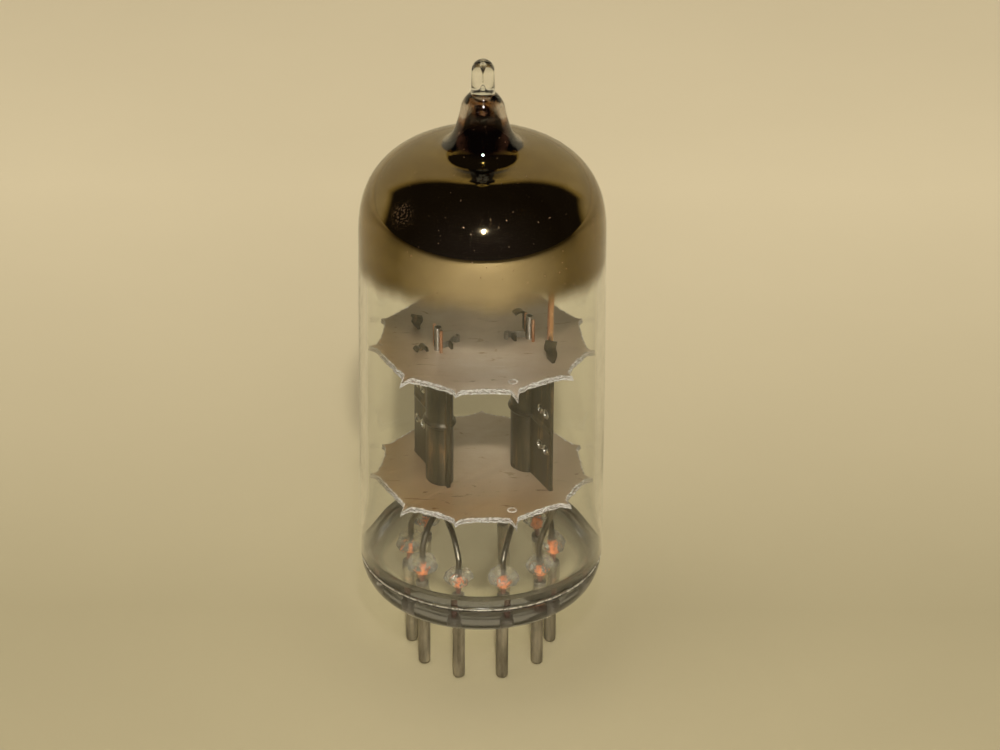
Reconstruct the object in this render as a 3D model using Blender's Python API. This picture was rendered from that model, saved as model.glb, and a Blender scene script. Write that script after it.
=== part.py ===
"""Miniature nine-pin twin triode valve, built piece by piece.

Metres, +Z up.  The origin is on the tube's axis, in the plane of the pin tips.
-Y is the front, and the gap in the circle of pins is at the back left.
Plan angles are measured from the front (-Y) towards the right (+X).
"""
import math

import bmesh
import bpy
from mathutils import Matrix, Vector

MM = 0.001
GAP = 0.04 * MM                 # kept between pieces that touch

# ---- glass envelope
BULB_RADIUS = 10.3 * MM
WALL = 0.7 * MM
BULB_BOTTOM = 9.1 * MM
DOME_START = 39.8 * MM
DOME_HEIGHT = 7.9 * MM
DOME_ROUNDNESS = 2.6            # exponent of the dome's superellipse
NECK_RADIUS = 2.15 * MM
NECK_BOTTOM = 48.5 * MM
NECK_HOLE = 0.75 * MM
NECK_FLANGE = 0.15 * MM         # how far the crown's rim stands out round the neck
TIP_RADIUS = 0.94 * MM
SHOULDER_BASE = 50.75 * MM      # rounded shoulder between the neck and the drawn tip
SHOULDER_RADIUS = 1.9 * MM
SHOULDER_RISE = 1.9 * MM
OVERALL_HEIGHT = 55.6 * MM
BULB_SIDES = 40

# ---- button stem and pins
SEAT_HEIGHT = 6.4 * MM          # underside of the glass above the pin tips
SEAT_EDGE = 7.9 * MM            # radius where the underside starts to round up
STEM_FLOOR = 9.9 * MM           # inner floor of the stem
FLOOR_FILLET = 0.7 * MM         # where the floor meets the bulb's wall
PIN_CIRCLE = 11.887 * MM / 2
PIN_RADIUS = 1.016 * MM / 2
PIN_PITCH = math.radians(36.0)
PIN_COUNT = 9
FIRST_PIN = math.radians(-126.0)
PIN_SOCKET_DEPTH = 1.1 * MM     # how far a pin runs up into the glass
BEAD_RADIUS = 1.25 * MM
BEAD_TOP = 11.3 * MM
BEAD_SIDES = 9
SEAL_WIRE_RADIUS = 0.22 * MM
LEAD_RADIUS = 0.24 * MM
LEAD_BORE = 0.30 * MM
SEAL_TOP = 10.6 * MM

# ---- mica spacers
MICA_THICKNESS = 0.4 * MM
LOWER_MICA = 17.2 * MM          # underside of each spacer
UPPER_MICA = 29.5 * MM
MICA_TOOTH = 9.5 * MM           # reach of the points that grip the bulb
MICA_BODY = 8.88 * MM           # roots of the points, at the sides
MICA_BAY = 8.58 * MM            # middle of the bay between two points, at the sides
MICA_FRONT_CUT = 0.18 * MM      # the sheet is this much smaller at the front and larger at the back
TOOTH_ANGLES = (-148, -112, -82, -43, -13, 18, 50, 79, 113, 147, 180)
BENT_DROPS = {-43: 0.35 * MM, -13: 0.12 * MM, 18: 0.45 * MM}   # points pressed down on assembly
VENT_RADIUS = 0.27 * MM         # small round hole near the front point
VENT_CIRCLE = 7.4 * MM
VENT_ANGLE = math.radians(20.0)

# ---- triode units: the fins of the left one point back, those of the right one forward
UNIT_CENTRES = {"left": Vector((-3.5, -1.8)) * MM, "right": Vector((3.6, 0.5)) * MM}
FIN_ANGLE = math.radians(26.0)  # long fin of the right-hand plate, from the front
PLATE_THICKNESS = 0.13 * MM
PLATE_BOTTOM = LOWER_MICA + MICA_THICKNESS + GAP
PLATE_TOP = UPPER_MICA - GAP
PLATE_HALF_LENGTH = 1.38 * MM
PLATE_HALF_WIDTH = 1.02 * MM
LONG_FIN_END = 4.9 * MM
SHORT_FIN_END = -1.85 * MM
BEAD_RIB_HEIGHT = 23.3 * MM     # stiffening rib pressed round the plate
BEAD_RIB_HALF = 0.32 * MM
BEAD_RIB_REACH = 0.22 * MM
CRIMP_HEIGHTS = (21.25 * MM, 24.7 * MM)
CRIMP_PLACES = (3.1 * MM, 4.15 * MM)
CRIMP_RADIUS = 0.32 * MM
EAR_TOP = 31.75 * MM
EAR_FOOT = 15.7 * MM
EAR_THICKNESS = 0.2 * MM
FIN_EAR_PLACE = 4.42 * MM
FIN_EAR_WIDTH = 0.95 * MM
WALL_EAR_WIDTH = 0.6 * MM
WALL_EAR_REACH = 0.5 * MM       # how far the inner wall's ears stand out of the spacers
FIN_EAR_TWIST = math.radians(50.0)
EAR_INSET = 0.4 * MM            # how far an ear's root runs into its plate
CROWN_EAR_PLACE = {"left": (0.5 * MM, 0.98 * MM), "right": (-1.2 * MM, 0.6 * MM)}
FIN_SEAM = PLATE_THICKNESS / 2 + GAP / 2   # middle of one fin sheet from the seam

CATHODE_RADIUS = 0.32 * MM
CATHODE_WALL = 0.07 * MM
CATHODE_BOTTOM = 16.5 * MM
CATHODE_TOP = 32.0 * MM
GRID_HALF_SPAN = 0.66 * MM
GRID_ROD_RADIUS = 0.14 * MM
GRID_ROD_BOTTOM = 15.9 * MM
GRID_ROD_TOP = 31.95 * MM
GRID_WIRE_RADIUS = 0.035 * MM
GRID_TURNS = 9
GRID_TURN_POINTS = 8
# grid and cathode from the plate's middle: along the long fin, and outward
CORE_SHIFT = {"left": (0.24 * MM, 0.04 * MM), "right": (0.24 * MM, 0.28 * MM)}
HEATER_RADIUS = 0.07 * MM
HEATER_HALF_SPAN = 0.13 * MM
HEATER_BOTTOM = 14.4 * MM
HEATER_TOP = 29.4 * MM
TAB_THICKNESS = 0.08 * MM
TAB_HEIGHT = 0.55 * MM

# ---- leads under the lower spacer: heights where each kind ends
FIN_LEAD_TOP = 16.5 * MM
GRID_LEAD_TOP = 16.7 * MM
CATHODE_LEAD_TOP = 15.9 * MM
HEATER_LEAD_TOP = 15.5 * MM
CENTRE_TAP = Vector((0.4, 2.2)) * MM
CENTRE_TAP_TOP = 14.95 * MM
BRIDGE_RADIUS = 0.15 * MM

# ---- getter
GETTER_HEIGHT = 40.6 * MM
GETTER_RADIUS = 3.1 * MM
GETTER_HALF_WIDTH = 0.45 * MM
GETTER_HALF_DEPTH = 0.5 * MM
GETTER_SHEET = 0.12 * MM
GETTER_WIRE_RADIUS = 0.25 * MM
FLASH_BOTTOM = 36.6 * MM
FLASH_THICKNESS = 0.08 * MM


# ------------------------------------------------------------------ helpers
def clear_scene():
    for item in list(bpy.data.objects):
        bpy.data.objects.remove(item, do_unlink=True)


def material(name, colour, roughness, metallic=0.0, transmission=0.0):
    made = bpy.data.materials.new(name)
    made.use_nodes = True
    shader = made.node_tree.nodes["Principled BSDF"]
    shader.inputs["Base Color"].default_value = (*colour, 1.0)
    shader.inputs["Roughness"].default_value = roughness
    shader.inputs["Metallic"].default_value = metallic
    shader.inputs["Transmission Weight"].default_value = transmission
    made.diffuse_color = (*colour, 1.0)
    return made


def polar(radius, angle):
    """Point in plan, with the angle from the front towards the right."""
    return Vector((radius * math.sin(angle), -radius * math.cos(angle)))


def add(name, bm, finish, smooth=40.0):
    """Turn a bmesh into a named object with outward faces and smooth round sides."""
    bmesh.ops.recalc_face_normals(bm, faces=bm.faces)
    mesh = bpy.data.meshes.new(name)
    bm.to_mesh(mesh)
    bm.free()
    if finish is not None:
        mesh.materials.append(finish)
    mesh.shade_smooth()
    mesh.set_sharp_from_angle(angle=math.radians(smooth))
    made = bpy.data.objects.new(name, mesh)
    bpy.context.scene.collection.objects.link(made)
    return made


def turned(profile, sides):
    """Spin a closed outline of (radius, height) points once round the Z axis."""
    bm = bmesh.new()
    verts = [bm.verts.new((radius, 0.0, height)) for radius, height in profile]
    closed = profile[0][0] > 0.0 or profile[-1][0] > 0.0
    edges = [bm.edges.new(pair) for pair in zip(verts, verts[1:])]
    if closed:
        edges.append(bm.edges.new((verts[-1], verts[0])))
    bmesh.ops.spin(bm, geom=verts + edges, cent=(0, 0, 0), axis=(0, 0, 1),
                   angle=math.tau, steps=sides, use_merge=True)
    bmesh.ops.remove_doubles(bm, verts=bm.verts, dist=0.0005 * MM)
    return bm


def extruded(outline, bottom, top):
    """Upright prism on a closed outline in plan."""
    bm = bmesh.new()
    face = bm.faces.new([bm.verts.new((point[0], point[1], bottom)) for point in outline])
    lifted = bmesh.ops.extrude_face_region(bm, geom=[face])["geom"]
    moved = [item for item in lifted if isinstance(item, bmesh.types.BMVert)]
    bmesh.ops.translate(bm, verts=moved, vec=(0, 0, top - bottom))
    return bm


def lofted(rings):
    """Closed skin through rings of matching points, capped at both ends."""
    bm = bmesh.new()
    rows = [[bm.verts.new(point) for point in ring] for ring in rings]
    count = len(rows[0])
    for low, high in zip(rows, rows[1:]):
        for i in range(count):
            j = (i + 1) % count
            bm.faces.new((low[i], low[j], high[j], high[i]))
    bm.faces.new(rows[0])
    bm.faces.new(rows[-1])
    return bm


def thick_path(points, thickness):
    """Closed outline in plan of a strip of even thickness along a path."""
    left, right = [], []
    for i, point in enumerate(points):
        along = (points[min(i + 1, len(points) - 1)] - points[max(i - 1, 0)]).normalized()
        across = Vector((-along.y, along.x)) * (thickness / 2)
        left.append(point + across)
        right.append(point - across)
    return left + right[::-1]


def rod(name, points, radius, finish, smoothness=4, resolution=2):
    """Round wire through a few points, with smooth bends and filled ends."""
    curve = bpy.data.curves.new(name, "CURVE")
    curve.dimensions = "3D"
    curve.bevel_depth = radius
    curve.bevel_resolution = resolution
    curve.use_fill_caps = True
    curve.resolution_u = smoothness
    curve.render_resolution_u = 0
    straight = len(points) == 2 or smoothness == 0
    spline = curve.splines.new("POLY" if straight else "BEZIER")
    knots = spline.points if straight else spline.bezier_points
    knots.add(len(points) - 1)
    for knot, point in zip(knots, points):
        if straight:
            knot.co = (*point, 1.0)
        else:
            knot.co = point
            knot.handle_left_type = knot.handle_right_type = "AUTO"
    curve.materials.append(finish)
    made = bpy.data.objects.new(name, curve)
    bpy.context.scene.collection.objects.link(made)
    return made


def box_between(low, high):
    bm = bmesh.new()
    bmesh.ops.create_cube(bm, size=1.0)
    size = Vector(high) - Vector(low)
    middle = (Vector(high) + Vector(low)) / 2
    bmesh.ops.transform(bm, matrix=Matrix.Translation(middle) @ Matrix.Diagonal((*size, 1.0)), verts=bm.verts)
    return bm


def joined(parts):
    """Put several bmeshes into one, for use as a cutter or a boss."""
    whole = bmesh.new()
    for part in parts:
        mesh = bpy.data.meshes.new("joined")
        bmesh.ops.recalc_face_normals(part, faces=part.faces)
        part.to_mesh(mesh)
        part.free()
        whole.from_mesh(mesh)
        bpy.data.meshes.remove(mesh)
    return whole


def moved(bm, x=0.0, y=0.0, z=0.0, turn=0.0):
    """Turn a bmesh about Z, then shift it."""
    matrix = Matrix.Translation((x, y, z)) @ Matrix.Rotation(turn, 4, "Z")
    bmesh.ops.transform(bm, matrix=matrix, verts=bm.verts)
    return bm


def combine(target, tool_bm, operation):
    """Boolean the target with a hidden tool object."""
    tool = add(f"{target.name}_{operation.lower()}_tool", tool_bm, None)
    tool.hide_render = True
    tool.display_type = "WIRE"
    boolean = target.modifiers.new(operation.title(), "BOOLEAN")
    boolean.operation = operation
    boolean.solver = "EXACT"
    boolean.object = tool


def round_post(place, radius, bottom, top, sides=12):
    """Upright cylinder at a place in plan."""
    profile = [(0.0, bottom), (radius, bottom), (radius, top), (0.0, top)]
    return moved(turned(profile, sides), place[0], place[1])


def arc(radius, centre, start, end, count):
    """Points (radius, height) on a quarter-style bend in a turned outline."""
    points = []
    for i in range(count + 1):
        angle = start + (end - start) * i / count
        points.append((centre[0] + radius * math.cos(angle), centre[1] + radius * math.sin(angle)))
    return points


# ------------------------------------------------------------------ finishes
def finishes():
    return {
        "clear_glass": material("clear_glass", (0.92, 0.94, 0.90), 0.03, transmission=1.0),
        "stem_glass": material("stem_glass", (0.80, 0.84, 0.84), 0.08, transmission=0.9),
        "mirror_film": material("mirror_film", (0.20, 0.15, 0.12), 0.08, 1.0),
        "mica": material("mica", (0.52, 0.43, 0.40), 0.35, transmission=0.2),
        "carbonised_nickel": material("carbonised_nickel", (0.03, 0.03, 0.032), 0.55, 0.3),
        "bright_nickel": material("bright_nickel", (0.62, 0.60, 0.56), 0.3, 1.0),
        "dull_nickel": material("dull_nickel", (0.22, 0.22, 0.23), 0.45, 1.0),
        "copper_rod": material("copper_rod", (0.72, 0.36, 0.18), 0.3, 1.0),
        "copper_clad": material("copper_clad", (0.80, 0.28, 0.10), 0.4, 0.6),
        "heater_coating": material("heater_coating", (0.85, 0.84, 0.80), 0.8),
    }


# ------------------------------------------------------------------ envelope
def dome_point(angle, inset=0.0):
    """Point on the dome, from its edge (angle 0) to its crown (a quarter turn)."""
    crown_radius = 0.7 * MM
    power = 2 / DOME_ROUNDNESS
    radius = crown_radius + (BULB_RADIUS - inset - crown_radius) * math.cos(angle) ** power
    return radius, DOME_START + (DOME_HEIGHT - inset) * math.sin(angle) ** power


def dome_arc(inset, first, last, count):
    steps = range(count + 1)
    return [dome_point(first + (last - first) * i / count, inset) for i in steps]


def make_bulb(finish):
    """Tube with a domed crown and a small hole where the tip is fused on."""
    last = math.radians(84)
    profile = [(BULB_RADIUS, BULB_BOTTOM)]
    profile += dome_arc(0.0, 0.0, last, 10)
    profile += [(NECK_RADIUS + NECK_FLANGE, NECK_BOTTOM - GAP), (NECK_HOLE, NECK_BOTTOM - GAP)]
    profile += dome_arc(WALL, last, 0.0, 8)
    profile += [(BULB_RADIUS - WALL, BULB_BOTTOM)]
    return add("bulb", turned(profile, BULB_SIDES), finish)


def make_exhaust_tip(finish):
    """Neck with a rounded shoulder, drawn out to a round-ended rod."""
    profile = [(0.0, NECK_BOTTOM), (NECK_RADIUS, NECK_BOTTOM)]
    spread = SHOULDER_RADIUS - TIP_RADIUS
    steps = 5
    for i in range(steps + 1):
        angle = math.pi / 2 * i / steps
        rise = SHOULDER_RISE * math.sin(angle)
        profile.append((TIP_RADIUS + spread * math.cos(angle), SHOULDER_BASE + rise))
    cap_centre = (0.0, OVERALL_HEIGHT - TIP_RADIUS)
    cap = arc(TIP_RADIUS, cap_centre, 0.0, math.pi / 2, 5)
    profile += cap[:-1] + [(0.0, OVERALL_HEIGHT)]
    add("exhaust_tip", turned(profile, 20), finish)


def pin_angles():
    return [FIRST_PIN + PIN_PITCH * i for i in range(PIN_COUNT)]


def make_stem(finish):
    """Pressed glass button: dished disc, glass beads round the leads, nine seals."""
    rim = BULB_RADIUS - 0.1 * MM
    seal_top = BULB_BOTTOM - GAP
    profile = [(0.0, SEAT_HEIGHT)]
    steps = 4
    for i in range(steps + 1):
        angle = math.pi / 2 * i / steps
        height = seal_top - (seal_top - SEAT_HEIGHT) * math.cos(angle)
        profile.append((SEAT_EDGE + (rim - SEAT_EDGE) * math.sin(angle), height))
    inner_edge = BULB_RADIUS - WALL - GAP
    profile += [(inner_edge, seal_top), (inner_edge, STEM_FLOOR + FLOOR_FILLET)]
    profile += [(inner_edge - 0.3 * FLOOR_FILLET, STEM_FLOOR + 0.3 * FLOOR_FILLET)]
    profile += [(inner_edge - FLOOR_FILLET, STEM_FLOOR), (0.0, STEM_FLOOR)]
    stem = add("button_stem", turned(profile, BULB_SIDES), finish)
    beads, bores = [], []
    for angle in pin_angles():
        place = polar(PIN_CIRCLE, angle)
        bead = [(0.0, STEM_FLOOR - 0.3 * MM), (BEAD_RADIUS, STEM_FLOOR - 0.3 * MM)]
        bead += [(BEAD_RADIUS, STEM_FLOOR + 0.45 * MM), (0.6 * BEAD_RADIUS, BEAD_TOP - 0.1 * MM)]
        bead.append((0.0, BEAD_TOP))
        beads.append(moved(turned(bead, BEAD_SIDES), place.x, place.y, turn=angle))
        socket_top = SEAT_HEIGHT + PIN_SOCKET_DEPTH + GAP
        pin_bore = PIN_RADIUS + GAP
        bore = [(0.0, SEAT_HEIGHT - MM), (pin_bore, SEAT_HEIGHT - MM), (pin_bore, socket_top)]
        bore += [(LEAD_BORE, socket_top), (LEAD_BORE, BEAD_TOP + MM), (0.0, BEAD_TOP + MM)]
        bores.append(moved(turned(bore, 12), place.x, place.y, turn=angle))
    combine(stem, joined(beads), "UNION")
    combine(stem, joined(bores), "DIFFERENCE")
    return stem


def make_pins(finish):
    """Nine nickel pins, each with a rounded end that has a small flat."""
    round_over = 0.34 * MM
    top = SEAT_HEIGHT + PIN_SOCKET_DEPTH
    nose = arc(round_over, (PIN_RADIUS - round_over, round_over), -math.pi / 2, 0.0, 3)
    profile = [(0.0, 0.0)] + nose + [(PIN_RADIUS, top), (0.0, top)]
    shape = None
    for number, angle in enumerate(pin_angles(), start=1):
        name = f"pin_{number}"
        place = polar(PIN_CIRCLE, angle)
        if shape is None:
            pin = add(name, turned(profile, 14), finish)
            shape = pin.data
        else:
            pin = bpy.data.objects.new(name, shape)
            bpy.context.scene.collection.objects.link(pin)
        pin.location = (place.x, place.y, 0.0)
        pin.rotation_euler = (0.0, 0.0, angle)


def make_seal_wires(finish):
    """Copper-clad wires that cross the glass between pin and inner lead."""
    bottom = SEAT_HEIGHT + PIN_SOCKET_DEPTH + 2 * GAP
    for number, angle in enumerate(pin_angles(), start=1):
        place = polar(PIN_CIRCLE, angle)
        ends = [(place.x, place.y, bottom), (place.x, place.y, SEAL_TOP)]
        rod(f"seal_wire_{number}", ends, SEAL_WIRE_RADIUS, finish, resolution=1)


# ------------------------------------------------------------------ triode units
class Unit:
    """One triode: turns its own plan coordinates into the tube's.

    u runs from the plate's middle along the long fin, v points to the outer side.
    """

    def __init__(self, side):
        self.side = side
        self.sign = 1.0 if side == "right" else -1.0
        self.centre = UNIT_CENTRES[side]
        self.along = polar(1.0, FIN_ANGLE) * self.sign
        self.outward = Vector((-self.along.y, self.along.x))
        if self.outward.x * self.sign < 0.0:
            self.outward = -self.outward
        self.core = self.at(*CORE_SHIFT[side])
        self.grid_axis = polar(1.0, FIN_ANGLE)

    def at(self, u, v):
        return self.centre + self.along * u + self.outward * v

    def grid_rod(self, which):
        """Plan place of the near (front) or far (back) grid rod."""
        reach = GRID_HALF_SPAN if which == "near" else -GRID_HALF_SPAN
        return self.core + self.grid_axis * reach


def plate_path(unit, outer, swell=0.0):
    """Middle line of one plate half: short fin, half oval, long fin."""
    side = 1.0 if outer else -1.0
    seam = side * FIN_SEAM
    points = [(SHORT_FIN_END, seam), (-PLATE_HALF_LENGTH - 0.12 * MM, seam)]
    count = 10
    for i in range(count + 1):
        angle = math.pi * (1.0 - i / count)
        across = (PLATE_HALF_WIDTH + swell) * math.sin(angle) * side
        if abs(across) > abs(seam):
            points.append(((PLATE_HALF_LENGTH + swell) * math.cos(angle), across))
    points += [(PLATE_HALF_LENGTH + 0.12 * MM + swell, seam + side * swell * 0.5)]
    points += [(LONG_FIN_END - 0.3 * MM, seam + side * swell * 0.5), (LONG_FIN_END, seam)]
    return [unit.at(u, v) for u, v in points]


def plate_half(unit, outer, finish):
    """Stamped plate half with a rib round its middle, from spacer to spacer."""
    levels = [(PLATE_BOTTOM, 0.0), (BEAD_RIB_HEIGHT - BEAD_RIB_HALF, 0.0)]
    levels += [(BEAD_RIB_HEIGHT - BEAD_RIB_HALF / 2, BEAD_RIB_REACH * 0.8), (BEAD_RIB_HEIGHT, BEAD_RIB_REACH)]
    levels += [(BEAD_RIB_HEIGHT + BEAD_RIB_HALF / 2, BEAD_RIB_REACH * 0.8)]
    levels += [(BEAD_RIB_HEIGHT + BEAD_RIB_HALF, 0.0), (PLATE_TOP, 0.0)]
    rings = []
    for height, swell in levels:
        outline = thick_path(plate_path(unit, outer, swell), PLATE_THICKNESS)
        rings.append([(point.x, point.y, height) for point in outline])
    name = f"plate_{unit.side}_{'outer' if outer else 'inner'}"
    return add(name, lofted(rings), finish)


def ear(unit, u, v, width, path, twist=0.0):
    """Strip standing along the fin; path holds (outward, height) points of its middle.

    The twist turns the part above the upper spacer, which locks the ear in its slot.
    """
    sheet_top = UPPER_MICA + MICA_THICKNESS
    rings = []
    for i, (out, height) in enumerate(path):
        before, after = path[max(i - 1, 0)], path[min(i + 1, len(path) - 1)]
        run = Vector((after[0] - before[0], after[1] - before[1])).normalized()
        share = max(0.0, min(1.0, (height - sheet_top) / (EAR_TOP - sheet_top)))
        turn = Matrix.Rotation(twist * min(1.0, share * 1.6), 2)
        middle = unit.at(u, v + out)
        along = turn @ unit.along * (width / 2)
        across = turn @ unit.outward * (EAR_THICKNESS / 2 * run.y)
        rise = -run.x * EAR_THICKNESS / 2
        corners = [(middle - along - across, -rise), (middle + along - across, -rise)]
        corners += [(middle + along + across, rise), (middle - along + across, rise)]
        rings.append([(corner.x, corner.y, height + lift) for corner, lift in corners])
    return lofted(rings)


def upright(bottom, top, steps=6):
    """Straight ear path from one height to another."""
    return [(0.0, bottom + (top - bottom) * i / steps) for i in range(steps + 1)]


def crown_path(side, seat):
    """Ear above the outer wall: folded down on the left unit, curled over on the right one."""
    if side == "left":
        bends = [(0.0, 0.07), (0.1, 0.4), (0.32, 0.5), (0.55, 0.3), (0.8, 0.4), (0.98, 0.2)]
    else:
        bends = [(0.0, 0.07), (0.0, 1.2), (-0.1, 1.6), (-0.35, 1.85), (-0.7, 1.9), (-1.05, 1.75)]
    sheet_top = UPPER_MICA + MICA_THICKNESS
    return [(0.0, seat)] + [(out * MM, sheet_top + rise * MM) for out, rise in bends]


def make_plates(unit, finish):
    """Both plate halves, with the ears that lock them into the spacers."""
    outer = plate_half(unit, True, finish)
    inner = plate_half(unit, False, finish)
    seat, foot = PLATE_TOP - EAR_INSET, PLATE_BOTTOM + EAR_INSET
    twist = FIN_EAR_TWIST
    crown_u, crown_v = CROWN_EAR_PLACE[unit.side]
    ears = [ear(unit, FIN_EAR_PLACE, FIN_SEAM, FIN_EAR_WIDTH, upright(seat, EAR_TOP), twist)]
    ears.append(ear(unit, FIN_EAR_PLACE, FIN_SEAM, FIN_EAR_WIDTH, upright(EAR_FOOT, foot)))
    ears.append(ear(unit, crown_u, crown_v, WALL_EAR_WIDTH, crown_path(unit.side, seat)))
    combine(outer, joined(ears), "UNION")
    wall_ear_top = UPPER_MICA + MICA_THICKNESS + WALL_EAR_REACH
    wall_ear_foot = LOWER_MICA - WALL_EAR_REACH
    ears = [ear(unit, 0.0, -PLATE_HALF_WIDTH, WALL_EAR_WIDTH, upright(seat, wall_ear_top))]
    ears.append(ear(unit, 0.0, -PLATE_HALF_WIDTH, WALL_EAR_WIDTH, upright(wall_ear_foot, foot)))
    combine(inner, joined(ears), "UNION")


def make_rivets(unit, finish):
    """Hollow rivets through both fins, two rows of two."""
    half = PLATE_THICKNESS + GAP / 2
    bore = 0.14 * MM
    neck = CRIMP_RADIUS - 0.1 * MM
    flange = 0.1 * MM
    profile = [(bore, -half - flange), (CRIMP_RADIUS, -half - GAP), (neck, -half - GAP)]
    profile += [(neck, half + GAP), (CRIMP_RADIUS, half + GAP), (bore, half + flange)]
    holes = []
    turn = Matrix.Rotation(math.atan2(unit.outward.y, unit.outward.x), 4, "Z")
    sideways = turn @ Matrix.Rotation(math.pi / 2, 4, "Y")
    seats = [(place, height) for height in CRIMP_HEIGHTS for place in CRIMP_PLACES]
    for number, (place, height) in enumerate(seats, start=1):
        middle = unit.at(place, 0.0)
        seat = Matrix.Translation((middle.x, middle.y, height)) @ sideways
        ring = turned(profile, 8)
        bmesh.ops.transform(ring, matrix=seat, verts=ring.verts)
        add(f"rivet_{unit.side}_{number}", ring, finish)
        hole = turned([(0.0, -MM), (neck + GAP, -MM), (neck + GAP, MM), (0.0, MM)], 8)
        bmesh.ops.transform(hole, matrix=seat, verts=hole.verts)
        holes.append(hole)
    for half_name in ("outer", "inner"):
        plate = bpy.data.objects[f"plate_{unit.side}_{half_name}"]
        combine(plate, joined([hole.copy() for hole in holes]), "DIFFERENCE")
    for hole in holes:
        hole.free()


def make_cathode(unit, finish):
    inner = CATHODE_RADIUS - CATHODE_WALL
    profile = [(CATHODE_RADIUS, CATHODE_BOTTOM), (CATHODE_RADIUS, CATHODE_TOP)]
    profile += [(inner, CATHODE_TOP), (inner, CATHODE_BOTTOM)]
    sleeve = moved(turned(profile, 14), unit.core.x, unit.core.y)
    add(f"cathode_{unit.side}", sleeve, finish)


def make_heater(unit, finish):
    """Hairpin of coated wire inside the cathode sleeve."""
    span = Vector((HEATER_HALF_SPAN, 0.0))
    left, right = unit.core - span, unit.core + span
    points = [(*left, HEATER_BOTTOM), (*left, HEATER_TOP), (*unit.core, HEATER_TOP + HEATER_HALF_SPAN)]
    points += [(*right, HEATER_TOP), (*right, HEATER_BOTTOM)]
    rod(f"heater_{unit.side}", points, HEATER_RADIUS, finish, smoothness=0, resolution=1)


def make_grid(unit, rod_finish, wire_finish):
    """Two side rods with a fine oval helix wound round them."""
    for which in ("near", "far"):
        place = unit.grid_rod(which)
        ends = [(*place, GRID_ROD_BOTTOM), (*place, GRID_ROD_TOP)]
        rod(f"grid_rod_{unit.side}_{which}", ends, GRID_ROD_RADIUS, rod_finish)
    bottom, top = PLATE_BOTTOM + 0.6 * MM, PLATE_TOP - 0.6 * MM
    reach_along = GRID_HALF_SPAN + GRID_ROD_RADIUS + GRID_WIRE_RADIUS + GAP
    reach_across = CATHODE_RADIUS + GRID_WIRE_RADIUS + 0.09 * MM
    across_axis = Vector((-unit.grid_axis.y, unit.grid_axis.x))
    points = []
    total = GRID_TURNS * GRID_TURN_POINTS
    for i in range(total + 1):
        angle = math.tau * i / GRID_TURN_POINTS
        place = unit.core + unit.grid_axis * reach_along * math.cos(angle)
        place += across_axis * reach_across * math.sin(angle)
        points.append((place.x, place.y, bottom + (top - bottom) * i / total))
    name = f"grid_winding_{unit.side}"
    rod(name, points, GRID_WIRE_RADIUS, wire_finish, smoothness=0, resolution=0)


def cathode_tab_path(unit):
    """Plan route of the ribbon from the cathode to its curled end near the middle."""
    start = unit.core + Vector((-(CATHODE_RADIUS + 0.06 * MM) * unit.sign, 0.0))
    curl = Vector((2.15, 0.25)) * MM * unit.sign
    hook = 0.28 * MM
    points = [start, start.lerp(curl, 0.5) + Vector((0.0, 0.15 * MM * unit.sign))]
    for i in range(7):
        angle = math.radians(-60 + 40 * i)
        points.append(curl + Vector((-math.sin(angle), math.cos(angle))) * hook * unit.sign)
    return points


def make_cathode_tab(unit, finish):
    bottom = UPPER_MICA + MICA_THICKNESS + GAP
    outline = thick_path(cathode_tab_path(unit), TAB_THICKNESS)
    add(f"cathode_tab_{unit.side}", extruded(outline, bottom, bottom + TAB_HEIGHT), finish)


# ------------------------------------------------------------------ spacers
def front_cut(radius, angle):
    """Radius of the sheet's edge, a little smaller at the front than at the back."""
    return polar(radius - MICA_FRONT_CUT * math.cos(angle), angle)


def mica_outline():
    """Round sheet with small gripping points and a shallow bay between them."""
    half_root = math.radians(2.6)
    points, bent = [], {}
    teeth = sorted(TOOTH_ANGLES)
    for i, tooth in enumerate(teeth):
        centre = math.radians(tooth)
        following = math.radians(teeth[(i + 1) % len(teeth)] + (360 if i == len(teeth) - 1 else 0))
        if tooth in BENT_DROPS:
            bent[len(points) + 1] = BENT_DROPS[tooth]
        points.append(front_cut(MICA_BODY, centre - half_root))
        points.append(polar(MICA_TOOTH, centre))
        points.append(front_cut(MICA_BODY, centre + half_root))
        for part in (0.3, 0.7):
            points.append(front_cut(MICA_BAY, centre + (following - centre) * part))
    return points, bent


def mica_openings(units, lower):
    """Posts and slots for everything that passes through a spacer."""
    low, high = -MM, MICA_THICKNESS + MM
    clear = GAP + 0.02 * MM
    parts = [round_post(polar(VENT_CIRCLE, VENT_ANGLE), VENT_RADIUS, low, high)]
    for unit in units:
        parts.append(round_post(unit.core, CATHODE_RADIUS + clear, low, high, 14))
        for which in ("near", "far"):
            parts.append(round_post(unit.grid_rod(which), GRID_ROD_RADIUS + clear, low, high))
        slots = [(FIN_EAR_PLACE, FIN_SEAM, FIN_EAR_WIDTH), (0.0, -PLATE_HALF_WIDTH, WALL_EAR_WIDTH)]
        if not lower:
            slots.append((*CROWN_EAR_PLACE[unit.side], WALL_EAR_WIDTH))
        for u, v, width in slots:
            half = Vector((width / 2 + clear, EAR_THICKNESS / 2 + clear, 0.0))
            slot = box_between((-half.x, -half.y, low), (half.x, half.y, high))
            place = unit.at(u, v)
            parts.append(moved(slot, place.x, place.y, turn=math.atan2(unit.along.y, unit.along.x)))
    return joined(parts)


def make_mica(name, height, units, finish):
    outline, bent = mica_outline()
    sheet = extruded(outline, 0.0, MICA_THICKNESS)
    for vert in sheet.verts:
        for i, drop in bent.items():
            if (vert.co.xy - outline[i]).length < 0.001 * MM:
                vert.co.z -= drop
    mica = add(name, sheet, finish)
    mica.data.shade_flat()
    mica.location.z = height
    tool = mica_openings(units, name == "lower_mica")
    bmesh.ops.translate(tool, verts=tool.verts, vec=(0.0, 0.0, height))
    combine(mica, tool, "DIFFERENCE")


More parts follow.
